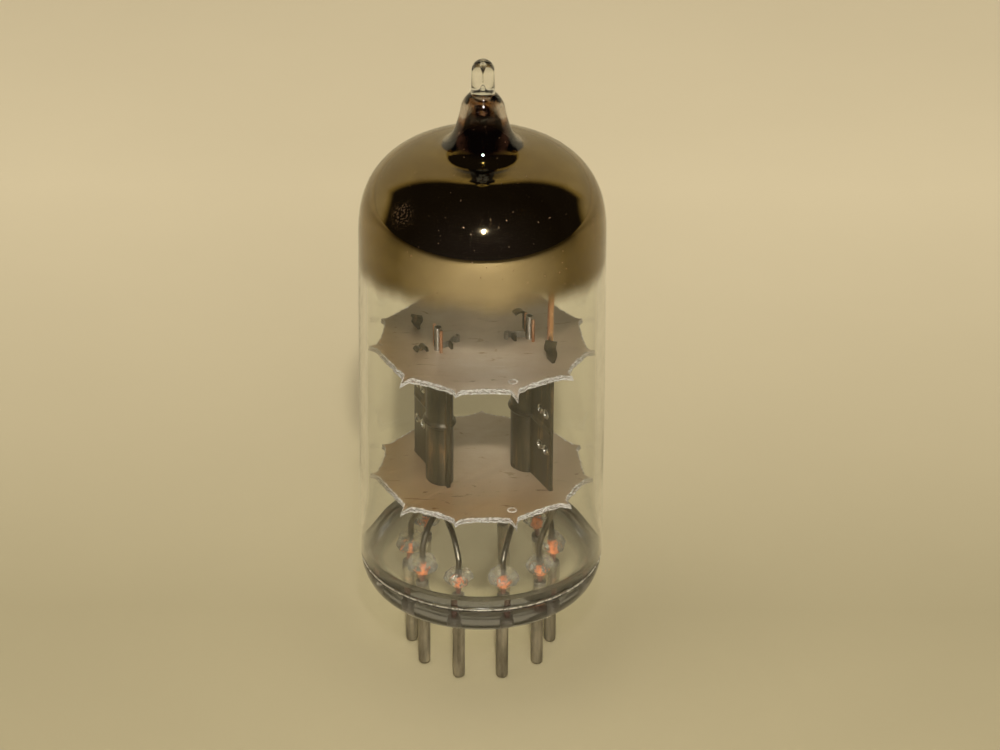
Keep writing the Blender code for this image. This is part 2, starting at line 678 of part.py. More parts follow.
# ------------------------------------------------------------------ leads
def lead_routes(units):
    """End point under the lower spacer for each pin's inner lead, by pin number."""
    left, right = units
    touch = LEAD_RADIUS + GAP
    fin_offset = EAR_THICKNESS / 2 + PLATE_THICKNESS / 2 + touch
    left_fin = left.at(FIN_EAR_PLACE, fin_offset)
    right_fin = right.at(FIN_EAR_PLACE, fin_offset)
    rod_offset = Vector((GRID_ROD_RADIUS + touch, 0.0))
    heater_offset = Vector((HEATER_HALF_SPAN + HEATER_RADIUS + touch, 0.0))
    beside_left = left.core + Vector((-0.12 * MM, -(HEATER_RADIUS + touch + 0.05 * MM)))
    beside_right = right.core + Vector((0.66 * MM, 0.2 * MM))
    return {
        1: (left_fin, FIN_LEAD_TOP), 2: (left.grid_rod("far") - rod_offset, GRID_LEAD_TOP),
        3: (beside_left, CATHODE_LEAD_TOP), 4: (left.core + heater_offset, HEATER_LEAD_TOP),
        5: (right.core - heater_offset, HEATER_LEAD_TOP), 6: (right_fin, FIN_LEAD_TOP),
        7: (right.grid_rod("near") + rod_offset, GRID_LEAD_TOP), 8: (beside_right, CATHODE_LEAD_TOP),
        9: (CENTRE_TAP, CENTRE_TAP_TOP),
    }


def make_leads(units, finish):
    """Inner leads: straight out of the glass, then across to the electrode they feed."""
    routes = lead_routes(units)
    start = SEAL_TOP + GAP
    for number, angle in enumerate(pin_angles(), start=1):
        foot = polar(PIN_CIRCLE, angle)
        end, end_height = routes[number]
        rise = BEAD_TOP + 0.9 * MM
        bend = foot.lerp(end, 0.35)
        points = [(*foot, start), (*foot, rise), (*bend, rise + 1.2 * MM)]
        points += [(*end, end_height - 1.3 * MM), (*end, end_height)]
        rod(f"lead_{number}", points, LEAD_RADIUS, finish, smoothness=3, resolution=1)


def make_heater_bridge(units, finish):
    """Wire that joins the heaters' other legs to the centre-tap lead."""
    left, right = units
    height = HEATER_BOTTOM + 0.35 * MM
    touch = HEATER_RADIUS + BRIDGE_RADIUS + GAP
    start = left.core + Vector((-HEATER_HALF_SPAN, touch))
    end = right.core + Vector((HEATER_HALF_SPAN, touch))
    middle = CENTRE_TAP + Vector((0.0, LEAD_RADIUS + BRIDGE_RADIUS + GAP))
    points = [(*start, height), (*middle, height), (*end, height)]
    rod("heater_bridge", points, BRIDGE_RADIUS, finish, smoothness=6, resolution=1)


# ------------------------------------------------------------------ getter
def make_getter(units, ring_finish, wire_finish, film_finish):
    right = units[1]
    base = right.at(FIN_EAR_PLACE, 0.0)
    away = base.normalized()
    foot = base + Vector((0.03 * MM, GETTER_WIRE_RADIUS + 0.42 * MM))
    inner = away * (GETTER_RADIUS + GETTER_HALF_WIDTH + GETTER_WIRE_RADIUS + GAP)
    knee = GETTER_HEIGHT - 2.0 * MM
    points = [(*foot, EAR_TOP - 0.9 * MM), (*foot, knee), (*inner.lerp(foot, 0.35), GETTER_HEIGHT - 0.6 * MM)]
    points += [(*inner, GETTER_HEIGHT)]
    rod("getter_support", points, GETTER_WIRE_RADIUS, wire_finish)
    half, depth, gauge = GETTER_HALF_WIDTH, GETTER_HALF_DEPTH, GETTER_SHEET
    channel = [(GETTER_RADIUS - half, -depth), (GETTER_RADIUS + half, -depth), (GETTER_RADIUS + half, depth)]
    channel += [(GETTER_RADIUS + half - gauge, depth), (GETTER_RADIUS + half - gauge, -depth + gauge)]
    channel += [(GETTER_RADIUS - half + gauge, -depth + gauge), (GETTER_RADIUS - half + gauge, depth)]
    channel += [(GETTER_RADIUS - half, depth)]
    ring = add("getter_ring", moved(turned(channel, 28), z=GETTER_HEIGHT), ring_finish)
    ring.data.set_sharp_from_angle(angle=math.radians(30))
    last = math.radians(74)
    outer, inner_face = WALL + GAP, WALL + GAP + FLASH_THICKNESS
    film = [(BULB_RADIUS - outer, FLASH_BOTTOM)] + dome_arc(outer, 0.0, last, 7)
    film += dome_arc(inner_face, last, 0.0, 7) + [(BULB_RADIUS - inner_face, FLASH_BOTTOM)]
    add("getter_flash", turned(film, BULB_SIDES), film_finish)


# ------------------------------------------------------------------ assembly
def build():
    clear_scene()
    look = finishes()
    units = [Unit("left"), Unit("right")]
    make_bulb(look["clear_glass"])
    make_exhaust_tip(look["clear_glass"])
    make_stem(look["stem_glass"])
    make_pins(look["dull_nickel"])
    make_seal_wires(look["copper_clad"])
    make_mica("lower_mica", LOWER_MICA, units, look["mica"])
    make_mica("upper_mica", UPPER_MICA, units, look["mica"])
    for unit in units:
        make_plates(unit, look["carbonised_nickel"])
        make_rivets(unit, look["bright_nickel"])
        make_cathode(unit, look["bright_nickel"])
        make_heater(unit, look["heater_coating"])
        make_grid(unit, look["copper_rod"], look["bright_nickel"])
        make_cathode_tab(unit, look["dull_nickel"])
    make_leads(units, look["dull_nickel"])
    make_heater_bridge(units, look["dull_nickel"])
    make_getter(units, look["dull_nickel"], look["copper_rod"], look["mirror_film"])


build()
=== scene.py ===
import math
import random

import bmesh
import bpy
from mathutils import Matrix, Vector, noise


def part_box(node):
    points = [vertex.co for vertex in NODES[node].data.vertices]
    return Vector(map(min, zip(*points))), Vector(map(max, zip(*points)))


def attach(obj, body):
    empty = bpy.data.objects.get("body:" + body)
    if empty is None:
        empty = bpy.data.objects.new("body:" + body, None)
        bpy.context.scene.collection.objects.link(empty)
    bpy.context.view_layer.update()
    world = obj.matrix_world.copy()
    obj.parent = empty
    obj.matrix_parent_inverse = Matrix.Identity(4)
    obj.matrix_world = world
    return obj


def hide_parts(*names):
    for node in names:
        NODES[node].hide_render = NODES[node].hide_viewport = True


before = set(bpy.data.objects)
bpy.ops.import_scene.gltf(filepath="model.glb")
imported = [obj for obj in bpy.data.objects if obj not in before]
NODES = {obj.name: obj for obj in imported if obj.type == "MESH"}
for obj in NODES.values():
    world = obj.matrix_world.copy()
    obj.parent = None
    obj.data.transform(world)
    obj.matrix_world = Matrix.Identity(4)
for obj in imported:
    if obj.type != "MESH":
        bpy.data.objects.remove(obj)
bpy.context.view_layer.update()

MM = 0.001

# ---------------------------------------- sizes read from the frame
BULB_LOW, BULB_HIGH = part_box("bulb")
RADIUS = BULB_HIGH.x
BULB_BOTTOM = BULB_LOW.z
FILM_LOW, FILM_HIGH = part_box("getter_flash")
INNER_RADIUS = FILM_HIGH.x + 0.04 * MM
WALL = RADIUS - INNER_RADIUS
SEAM = BULB_BOTTOM + 0.5 * MM
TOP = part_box("exhaust_tip")[1].z
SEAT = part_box("button_stem")[0].z
BEAD_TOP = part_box("button_stem")[1].z
PIN_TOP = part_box("pin_1")[1].z
SEAL_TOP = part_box("seal_wire_1")[1].z
UPPER_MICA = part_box("upper_mica")[1].z
LOWER_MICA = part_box("lower_mica")[1].z
PLATE_TOP = UPPER_MICA - 0.45 * MM
PLATE_BOTTOM = LOWER_MICA + 0.02 * MM
EAR_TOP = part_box("plate_left_outer")[1].z

# ---------------------------------------- design values: glass and film
DOME_START = 39.8 * MM
DOME_HEIGHT = 7.9 * MM
DOME_ROUNDNESS = 2.6
CROWN_RADIUS = 0.7 * MM
CROWN_END = math.radians(68)
STEM_FLOOR = 9.9 * MM
TIP_RADIUS = 0.94 * MM
BEAD_RADIUS = 1.18 * MM
BEAD_HALF_HEIGHT = 0.82 * MM
DRAW_LOW, DRAW_HIGH, DRAW_SHARE = 24.0 * MM, 41.0 * MM, 0.010
INSIDE_WAVER = (0.03 * MM, 0.13, 9.0)
DENT_START, DENT_DEPTH = 50.7 * MM, 0.06 * MM
FILM_HALF_SHEET = 0.02 * MM
GLASS_SIDES, DOME_STEPS, PROFILE_STEPS = 160, 40, 4
# (radius, height) in millimetres, from the dome up
NECK_OUTSIDE = [(4.5, 47.45), (3.85, 47.635), (3.35, 47.88), (2.92, 48.3), (2.58, 48.85), (2.3, 49.5),
                (2.08, 50.2), (1.93, 50.8), (1.79, 51.5), (1.62, 51.9), (1.36, 52.28), (1.06, 52.68),
                (0.97, 53.2)]
NECK_INSIDE = [(4.25, 46.77), (3.6, 46.965), (3.12, 47.16), (2.72, 47.46), (2.42, 47.9), (2.2, 48.42),
               (2.0, 48.98), (1.8, 49.6), (1.58, 50.2), (1.4, 50.7)]
CAVITY_END = [(1.27, 51.15), (1.12, 51.7), (0.96, 52.2), (0.8, 52.65), (0.55, 52.95), (0.22, 53.1),
              (0.11, 53.4)]
BUBBLE = [(0.0, 53.75), (0.05, 53.78), (0.04, 54.1), (0.05, 54.5), (0.13, 54.75), (0.2, 54.92), (0.17, 55.1),
          (0.0, 55.16)]

# ---------------------------------------- design values: pins, wires and electrodes
PIN_RADIUS = 0.508 * MM
PIN_NOSE = 0.40 * MM
SEAL_RADIUS = 0.23 * MM
LEAD_RADIUS = 0.24 * MM
GETTER_WIRE_RADIUS = 0.25 * MM
UNIT_CENTRES = {"left": Vector((-3.5, -1.8)) * MM, "right": Vector((3.6, 0.5)) * MM}
FIN_ANGLE = math.radians(26.0)
PLATE_SHEET = 0.13 * MM
PLATE_HALF_LENGTH = 1.38 * MM
PLATE_HALF_WIDTH = 1.02 * MM
LONG_FIN_END = 4.9 * MM
SHORT_FIN_END = -1.85 * MM
PLATE_SEAM = PLATE_SHEET / 2 + 0.01 * MM
RIB_HEIGHT = 23.3 * MM
RIB_HALF = 0.36 * MM
RIB_REACH = 0.24 * MM
EAR_SHEET = 0.2 * MM
EAR_WIDTH = 0.6 * MM
FIN_EAR_WIDTH = 0.95 * MM
FIN_EAR_PLACE = 4.42 * MM
RIVET_HEIGHTS = (21.25 * MM, 24.7 * MM)
RIVET_PLACES = (3.1 * MM, 4.15 * MM)
GRID_HALF_SPAN = 0.66 * MM
GRID_ROD_RADIUS = 0.14 * MM
GRID_WIRE_RADIUS = 0.03 * MM
GRID_TURNS, GRID_STEPS = 38, 14
CATHODE_RADIUS = 0.32 * MM
CORE_SHIFT = {"left": (0.24 * MM, 0.04 * MM), "right": (0.24 * MM, 0.28 * MM)}
RIBBON_SHEET = 0.07 * MM
RIBBON_CURL = 0.28 * MM

# ---------------------------------------- design values: mica spacers
MICA_SHEET = 0.4 * MM
SPLIT_GAP = 0.05 * MM
SPLIT_INSETS = (0.0, 0.06 * MM)
CHIP_DEPTH = 0.10 * MM
CHIPPED_TOOTH = -13.0
VENT_RADIUS, VENT_ANGLE = 7.4 * MM, math.radians(20.0)

# ---------------------------------------- design values: finishes and the studio
GLASS_IOR = 1.5
# centre of the paler patch on the film's front, a painted reflection
FRONT_REFLECTION_SPOT = (0.0, -RADIUS, 40.0 * MM)
RUBBED_SPOT = Vector((-6.6, -5.9, 44.7)) * MM
CAMERA_PITCH, CAMERA_ROLL = math.radians(29.8), math.radians(-0.342)
CAMERA_AIM = Vector((1.515, 0.0, 26.4)) * MM
CAMERA_DISTANCE = 378 * MM
FOCAL_LENGTH = 162.8
LAMP_AIM = Vector((0.0, 0.0, 0.025))
DARK_ROOM = (0.02, 0.016, 0.014)
PALE_ROOM = (0.60, 0.51, 0.33)
ROOM_BORDER = (0.51, 0.61)
ROOM_SIDES = ((-0.75, -1.0, 0.31), (0.8, 1.0, 0.28))
GLASS_BOUNCES = 24


def polar(radius, angle):
    """Point in plan, with the angle from the front (-Y) towards the right (+X)."""
    return Vector((radius * math.sin(angle), -radius * math.cos(angle)))


# ---------------------------------------- mesh helpers
def piece(name, bm, materials, replaced=(), smooth=35.0):
    """Make a named object that rides on the root body."""
    bmesh.ops.recalc_face_normals(bm, faces=bm.faces)
    mesh = bpy.data.meshes.new(name)
    bm.to_mesh(mesh)
    bm.free()
    for finish in materials:
        mesh.materials.append(finish)
    mesh.shade_smooth()
    mesh.set_sharp_from_angle(angle=math.radians(smooth))
    made = bpy.data.objects.new(name, mesh)
    bpy.context.scene.collection.objects.link(made)
    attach(made, "root")
    if replaced:
        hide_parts(*replaced)


def lathe(profile, sides, centre=(0.0, 0.0), bm=None):
    """Surface of revolution through (radius, height) points: a zero radius is a pole, and none closes it."""
    bm = bm or bmesh.new()
    rows = []
    for radius, height in profile:
        if radius <= 1e-9:
            rows.append([bm.verts.new((centre[0], centre[1], height))])
            continue
        ring = []
        for i in range(sides):
            angle = math.tau * i / sides
            ring.append(bm.verts.new((centre[0] + radius * math.cos(angle),
                                      centre[1] + radius * math.sin(angle), height)))
        rows.append(ring)
    loop = len(rows[0]) > 1 and len(rows[-1]) > 1
    pairs = list(zip(rows, rows[1:])) + ([(rows[-1], rows[0])] if loop else [])
    for low, high in pairs:
        for i in range(sides):
            j = (i + 1) % sides
            corners = [low[i % len(low)], low[j % len(low)], high[j % len(high)], high[i % len(high)]]
            corners = list(dict.fromkeys(corners))
            if len(corners) > 2:
                bm.faces.new(corners)
    return bm


def spline(points, per_span):
    """Catmull-Rom points through a short list of points of any dimension."""
    made = []
    last = len(points) - 1
    for i in range(last):
        p0, p1, p2, p3 = (Vector(points[max(0, min(last, i + k))]) for k in (-1, 0, 1, 2))
        for k in range(per_span):
            t = k / per_span
            a, b = (p2 - p0) / 2, (p3 - p1) / 2
            made.append(p1 * (2 * t**3 - 3 * t**2 + 1) + a * (t**3 - 2 * t**2 + t)
                        + p2 * (3 * t**2 - 2 * t**3) + b * (t**3 - t**2))
    made.append(Vector(points[last]))
    return made


def tube(points, radii, sides=14):
    """Closed round tube along 3-D points, with one radius or a radius for each point."""
    bm = bmesh.new()
    points = [Vector(p) for p in points]
    if not isinstance(radii, (list, tuple)):
        radii = [radii] * len(points)
    rows = []
    side = Vector((1, 0, 0))
    for i, point in enumerate(points):
        run = (points[min(i + 1, len(points) - 1)] - points[max(i - 1, 0)]).normalized()
        side = side - run * side.dot(run)
        if side.length < 1e-6:
            side = run.orthogonal()
        side.normalize()
        other = run.cross(side)
        ring = []
        for k in range(sides):
            angle = math.tau * k / sides
            ring.append(bm.verts.new(point + (side * math.cos(angle) + other * math.sin(angle)) * radii[i]))
        rows.append(ring)
    for low, high in zip(rows, rows[1:]):
        for k in range(sides):
            j = (k + 1) % sides
            bm.faces.new((low[k], low[j], high[j], high[k]))
    bm.faces.new(rows[0][::-1])
    bm.faces.new(rows[-1])
    return bm


def round_ended(points, radius, steps=3):
    """Points and radii of a wire whose two ends are rounded over."""
    points = [Vector(p) for p in points]
    first, last = (points[1] - points[0]).normalized(), (points[-1] - points[-2]).normalized()
    line, radii = [], []
    for k in range(steps):
        angle = math.pi / 2 * (k + 0.5) / steps
        line.append(points[0] + first * radius * (1 - math.sin(angle)))
        radii.append(radius * math.cos(math.pi / 2 - angle))
    line += points[1:-1]
    radii += [radius] * (len(points) - 2)
    for k in reversed(range(steps)):
        angle = math.pi / 2 * (k + 0.5) / steps
        line.append(points[-1] - last * radius * (1 - math.sin(angle)))
        radii.append(radius * math.cos(math.pi / 2 - angle))
    return line, radii


def lofted(rings, bm=None):
    """Closed skin through rings of matching points, capped at both ends."""
    bm = bm or bmesh.new()
    rows = [[bm.verts.new(point) for point in ring] for ring in rings]
    count = len(rows[0])
    for low, high in zip(rows, rows[1:]):
        for i in range(count):
            j = (i + 1) % count
            bm.faces.new((low[i], low[j], high[j], high[i]))
    bm.faces.new(rows[0][::-1])
    bm.faces.new(rows[-1])
    return bm


def thick_path(points, thickness):
    """Closed outline in plan of a strip of even thickness along a path."""
    left, right = [], []
    for i, point in enumerate(points):
        along = (points[min(i + 1, len(points) - 1)] - points[max(i - 1, 0)]).normalized()
        across = Vector((-along.y, along.x)) * (thickness / 2)
        left.append(point + across)
        right.append(point - across)
    return left + right[::-1]


# ---------------------------------------- materials
class Nodes:
    """A node tree with short ways to add nodes."""

    def __init__(self, tree):
        self.tree = tree

    def node(self, kind, **values):
        made = self.tree.nodes.new(kind)
        for key, value in values.items():
            setattr(made, key, value)
        return made

    def link(self, source, target):
        self.tree.links.new(source, target)

    def ramp(self, factor, stops):
        """Colours or grey values at positions along a factor."""
        made = self.node("ShaderNodeValToRGB")
        elements = made.color_ramp.elements
        while len(elements) < len(stops):
            elements.new(0.5)
        for element, (position, colour) in zip(elements, stops):
            element.position = position
            element.color = (*colour, 1.0) if isinstance(colour, tuple) else (colour, colour, colour, 1.0)
        self.link(factor, made.inputs["Fac"])
        return made.outputs["Color"]

    def spread(self, factor, low, high, from_low=0.3, from_high=0.7, interpolation="LINEAR"):
        """Map a range of the factor, by default the middle of a noise, to low .. high."""
        made = self.node("ShaderNodeMapRange", interpolation_type=interpolation)
        made.inputs["From Min"].default_value = from_low
        made.inputs["From Max"].default_value = from_high
        made.inputs["To Min"].default_value = low
        made.inputs["To Max"].default_value = high
        self.link(factor, made.inputs["Value"])
        return made.outputs["Result"]

    def maths(self, operation, first, second):
        made = self.node("ShaderNodeMath", operation=operation)
        self.link(first, made.inputs[0])
        self.link(second, made.inputs[1])
        return made.outputs["Value"]

    def mix(self, factor, first, second):
        """Blend two colours; either may be a socket or a constant."""
        made = self.node("ShaderNodeMix", data_type="RGBA")
        self.link(factor, made.inputs["Factor"])
        for socket, value in ((made.inputs[6], first), (made.inputs[7], second)):
            if isinstance(value, tuple):
                socket.default_value = (*value, 1.0)
            else:
                self.link(value, socket)
        return made.outputs[2]


class Shader(Nodes):
    """A material with a Principled BSDF, on object coordinates in metres."""

    def __init__(self, name):
        self.material = bpy.data.materials.new(name)
        self.material.use_nodes = True
        super().__init__(self.material.node_tree)
        self.bsdf = self.tree.nodes["Principled BSDF"]
        self.output = self.tree.nodes["Material Output"]

    def set(self, **values):
        """Set constants on the shader's own sockets."""
        for key, value in values.items():
            socket = self.bsdf.inputs[key.replace("_", " ")]
            socket.default_value = (*value, 1.0) if isinstance(value, tuple) and len(value) == 3 else value

    def coordinates(self, stretch=(1.0, 1.0, 1.0)):
        place = self.node("ShaderNodeTexCoord")
        mapping = self.node("ShaderNodeMapping")
        mapping.inputs["Scale"].default_value = stretch
        self.link(place.outputs["Object"], mapping.inputs["Vector"])
        return mapping.outputs["Vector"]

    def along(self, axis):
        """The coordinate along X, Y or Z."""
        split = self.node("ShaderNodeSeparateXYZ")
        self.link(self.coordinates(), split.inputs["Vector"])
        return split.outputs[axis]

    def radius(self):
        """Distance from the tube's axis."""
        flat = self.node("ShaderNodeVectorMath", operation="LENGTH")
        self.link(self.coordinates((1.0, 1.0, 0.0)), flat.inputs[0])
        return flat.outputs["Value"]

    def distance(self, spot):
        """Distance from a spot on the surface."""
        made = self.node("ShaderNodeVectorMath", operation="DISTANCE")
        self.link(self.coordinates(), made.inputs[0])
        made.inputs[1].default_value = spot
        return made.outputs["Value"]

    def noise(self, per_mm, stretch=(1.0, 1.0, 1.0), detail=5.0, rough=0.6, distortion=0.0):
        """Noise with about that many features to the millimetre."""
        made = self.node("ShaderNodeTexNoise")
        made.inputs["Scale"].default_value = per_mm / MM
        made.inputs["Detail"].default_value = detail
        made.inputs["Roughness"].default_value = rough
        made.inputs["Distortion"].default_value = distortion
        self.link(self.coordinates(stretch), made.inputs["Vector"])
        return made.outputs["Fac"]

    def bump(self, height, distance, strength=1.0):
        made = self.node("ShaderNodeBump")
        made.inputs["Strength"].default_value = strength
        made.inputs["Distance"].default_value = distance
        self.link(height, made.inputs["Height"])
        self.link(made.outputs["Normal"], self.bsdf.inputs["Normal"])

    def colour(self, socket):
        self.link(socket, self.bsdf.inputs["Base Color"])

    def roughness(self, socket):
        self.link(socket, self.bsdf.inputs["Roughness"])

    def lets_light_in(self, tint):
        """Lamp light passes straight through this glass with a tint."""
        path = self.node("ShaderNodeLightPath")
        clear = self.node("ShaderNodeBsdfTransparent")
        clear.inputs["Color"].default_value = (*tint, 1.0)
        mix = self.node("ShaderNodeMixShader")
        self.link(path.outputs["Is Shadow Ray"], mix.inputs["Fac"])
        self.link(self.bsdf.outputs["BSDF"], mix.inputs[1])
        self.link(clear.outputs["BSDF"], mix.inputs[2])
        self.link(mix.outputs["Shader"], self.output.inputs["Surface"])


def scaled(stops, gain):
    """Ramp stops with each colour multiplied by a gain."""
    return [(stop, tuple(part * share for part, share in zip(colour, gain))) for stop, colour in stops]


def clear_glass():
    """Blown glass, faintly uneven."""
    made = Shader("clear_glass")
    made.set(Transmission_Weight=1.0, IOR=GLASS_IOR, Base_Color=(0.92, 0.925, 0.895))
    made.roughness(made.spread(made.noise(0.35), 0.0, 0.03))
    made.bump(made.noise(0.25, detail=2.0), 0.004 * MM, 0.3)
    made.lets_light_in((0.96, 0.965, 0.945))
    return made.material


def seam_glass():
    """Fused bead between bulb and stem, frosted by the flame."""
    made = Shader("seam_glass")
    made.set(Transmission_Weight=0.55, IOR=GLASS_IOR)
    frost = made.noise(1.8, detail=5.0)
    made.colour(made.ramp(frost, [(0.35, (0.34, 0.30, 0.23)), (0.65, (0.60, 0.54, 0.43))]))
    made.roughness(made.spread(frost, 0.18, 0.4))
    made.bump(frost, 0.01 * MM, 0.4)
    made.lets_light_in((0.9, 0.9, 0.87))
    return made.material


def void_skin():
    """Inner face of a trapped bubble, seen as a dark ring in the glass."""
    made = Shader("bubble_skin")
    made.set(Transmission_Weight=1.0, IOR=0.667, Base_Color=(0.9, 0.9, 0.88))
    made.roughness(made.spread(made.noise(2.0), 0.0, 0.04))
    made.bump(made.noise(3.0, detail=2.0), 0.01 * MM, 0.3)
    made.lets_light_in((0.9, 0.9, 0.9))
    return made.material


def stem_glass():
    """Pressed glass: clear in the thin floor, dark grey in the thick ring, partly the tint of thick glass and
    partly painted shade.
    """
    made = Shader("stem_glass")
    made.set(Transmission_Weight=1.0, IOR=1.52)
    # the dark grey of the thick ring is partly painted shade
    ring = made.spread(made.radius(), 0.0, 1.0, 7.9 * MM, 9.1 * MM)
    made.colour(made.ramp(ring, [
        (0.0, (0.96, 0.96, 0.95)), (0.4, (0.50, 0.50, 0.495)), (1.0, (0.27, 0.275, 0.29))]))
    haze = made.spread(made.noise(0.8), 0.01, 0.07)
    made.roughness(made.maths("ADD", haze, made.spread(ring, 0.0, 0.06, 0.0, 1.0)))
    made.bump(made.noise(0.9, detail=3.0), 0.02 * MM, 0.4)
    made.lets_light_in((0.955, 0.955, 0.945))
    return made.material


def bead_glass():
    """Crackled glass melted round each seal wire."""
    made = Shader("bead_glass")
    made.set(Transmission_Weight=0.94, IOR=GLASS_IOR)
    cells = made.noise(2.6, detail=6.0, rough=0.7)
    made.colour(made.ramp(cells, [(0.35, (0.60, 0.57, 0.49)), (0.6, (0.92, 0.90, 0.84))]))
    made.roughness(made.spread(cells, 0.03, 0.25))
    made.bump(made.noise(2.4, detail=5.0, rough=0.65), 0.10 * MM, 0.7)
    made.lets_light_in((0.8, 0.8, 0.77))
    return made.material


def mirror_film():
    """Getter metal: a dark mirror, black round the neck, thinning to pale smoke below, with a paler patch at
    the front low that is a painted reflection.
    """
    made = Shader("mirror_film")
    made.set(Metallic=1.0)
    height = made.along("Z")
    cloud = made.noise(0.22, detail=6.0, distortion=0.6)
    body = made.ramp(cloud, [
        (0.3, (0.19, 0.125, 0.035)), (0.55, (0.25, 0.175, 0.052)), (0.8, (0.32, 0.235, 0.09))])
    # painted reflection: the film is made paler round a spot at the front low
    pale = made.spread(made.distance(FRONT_REFLECTION_SPOT), 1.0, 0.0, 2.2 * MM, 7.5 * MM)
    thin = made.mix(pale, body, (0.66, 0.55, 0.40))
    crown = made.spread(made.radius(), 1.0, 0.0, 2.25 * MM, 2.5 * MM)
    dark = made.mix(crown, thin, (0.05, 0.024, 0.02))
    stain = made.spread(height, 0.0, 1.0, 49.9 * MM, 50.35 * MM)
    brown = made.mix(stain, dark, (0.30, 0.14, 0.05))
    patch = made.spread(made.distance(RUBBED_SPOT), 1.0, 0.0, 0.7 * MM, 1.7 * MM)
    scuffs = made.ramp(made.noise(5.5, detail=1.0), [(0.46, 0.0), (0.6, 1.0)])
    specks = made.ramp(made.noise(3.9, detail=1.0), [(0.73, 0.0), (0.79, 1.0)])
    flaw = made.maths("MAXIMUM", made.maths("MULTIPLY", patch, scuffs), specks)
    made.colour(made.mix(flaw, brown, (0.42, 0.27, 0.18)))
    made.roughness(made.spread(flaw, 0.035, 0.42, 0.0, 1.0))
    droop = made.spread(made.along("Y"), 0.0, 1.1 * MM, -9.5 * MM, -5.0 * MM)
    wander = made.spread(made.noise(0.16, stretch=(1.0, 1.0, 0.25), detail=3.0), -0.6 * MM, 0.6 * MM)
    level = made.maths("ADD", made.maths("ADD", height, droop), wander)
    fade = made.spread(level, 0.0, 1.0, FILM_LOW.z + 0.75 * MM, FILM_LOW.z + 3.3 * MM, "SMOOTHSTEP")
    neck = made.ramp(made.spread(height, 0.0, 1.0, 50.0 * MM, 53.0 * MM), [
        (0.05, 1.0), (0.2, 0.3), (0.5, 0.25), (0.68, 0.75), (0.8, 0.6), (0.88, 0.0)])
    made.link(made.maths("MULTIPLY", fade, neck), made.bsdf.inputs["Alpha"])
    return made.material


def mica_face(name, warm_shade):
    """Split mica, mottled and streaked, made lighter at the back as painted light and darker towards the left
    and right; the second argument darkens the sheet as painted shade and takes away green and blue.
    """
    made = Shader(name)
    streak = made.noise(1.1, stretch=(0.45, 1.3, 1.0), detail=8.0, rough=0.7, distortion=0.9)
    mottle = made.maths("ADD", made.spread(streak, -0.12, 0.12), made.noise(0.16, detail=4.0))
    tones = [(0.25, (0.19, 0.14, 0.10)), (0.45, (0.225, 0.172, 0.13)), (0.62, (0.265, 0.21, 0.165)),
             (0.85, (0.34, 0.29, 0.245))]
    # painted shade: the lower spacer's copy is made darker all over
    shade_gain = 1.0 - 0.55 * warm_shade
    front = scaled(tones, (shade_gain, shade_gain * (1.0 - 0.35 * warm_shade), shade_gain * (1.0 - 0.8 * warm_shade)))
    # painted light: a lighter copy of the tones, blended in towards the back of the sheet
    rear = scaled(tones, (shade_gain * 2.4, shade_gain * 2.35, shade_gain * 2.2))
    rear_light = made.spread(made.along("Y"), 0.0, 1.0, -6.0 * MM, 3.0 * MM)
    face = made.mix(rear_light, made.ramp(mottle, front), made.ramp(mottle, rear))
    # darker towards the left and right sides
    to_left = made.spread(made.along("X"), 1.0, 0.0, -7.5 * MM, -1.0 * MM)
    to_right = made.spread(made.along("X"), 0.0, 0.9, 2.5 * MM, 8.0 * MM)
    left = made.mix(to_left, face, (0.125, 0.068, 0.021))
    made.colour(made.mix(to_right, left, (0.15, 0.10, 0.058)))
    made.roughness(made.spread(streak, 0.22, 0.5))
    made.set(Coat_Weight=0.35, Coat_Roughness=0.18, Specular_IOR_Level=0.6, Transmission_Weight=0.15)
    made.bump(streak, 0.008 * MM, 0.4)
    return made.material


def mica_edge():
    """Split edges of the sheets, bright and flaky, with painted shade making them duller at both sides."""
    made = Shader("mica_edge")
    flake = made.noise(3.0, stretch=(1.0, 1.0, 4.0), detail=8.0, rough=0.7)
    bright = made.ramp(flake, [
        (0.35, (0.18, 0.155, 0.135)), (0.5, (0.38, 0.345, 0.32)), (0.7, (0.76, 0.74, 0.74))])
    # painted shade: the edges at the left and right sides are dulled
    left = made.spread(made.along("X"), 1.0, 0.0, -8.4 * MM, -6.6 * MM)
    right = made.spread(made.along("X"), 0.0, 1.0, 7.6 * MM, 9.2 * MM)
    made.colour(made.mix(made.maths("MAXIMUM", left, right), bright, (0.20, 0.165, 0.12)))
    made.roughness(made.spread(flake, 0.12, 0.45))
    made.set(Coat_Weight=0.6, Coat_Roughness=0.08, Transmission_Weight=0.15)
    made.bump(flake, 0.08 * MM, 0.8)
    return made.material


def carbonised():
    """Sooty plate sheet with upright brown streaks, partly soot and partly painted highlight."""
    made = Shader("carbonised_nickel")
    soot_and_sheen = made.noise(1.5, stretch=(1.0, 1.0, 0.14), detail=8.0, rough=0.65)
    # the brightest brown streaks are partly painted highlight, standing in for soft upright highlights on the
    # plate
    made.colour(made.ramp(soot_and_sheen, [
        (0.36, (0.016, 0.013, 0.008)), (0.56, (0.05, 0.036, 0.018)), (0.74, (0.27, 0.155, 0.065))]))
    made.roughness(made.spread(soot_and_sheen, 0.28, 0.45))
    made.set(Metallic=0.3, Specular_IOR_Level=0.42)
    made.bump(made.noise(6.0, detail=6.0), 0.012 * MM, 0.6)
    return made.material


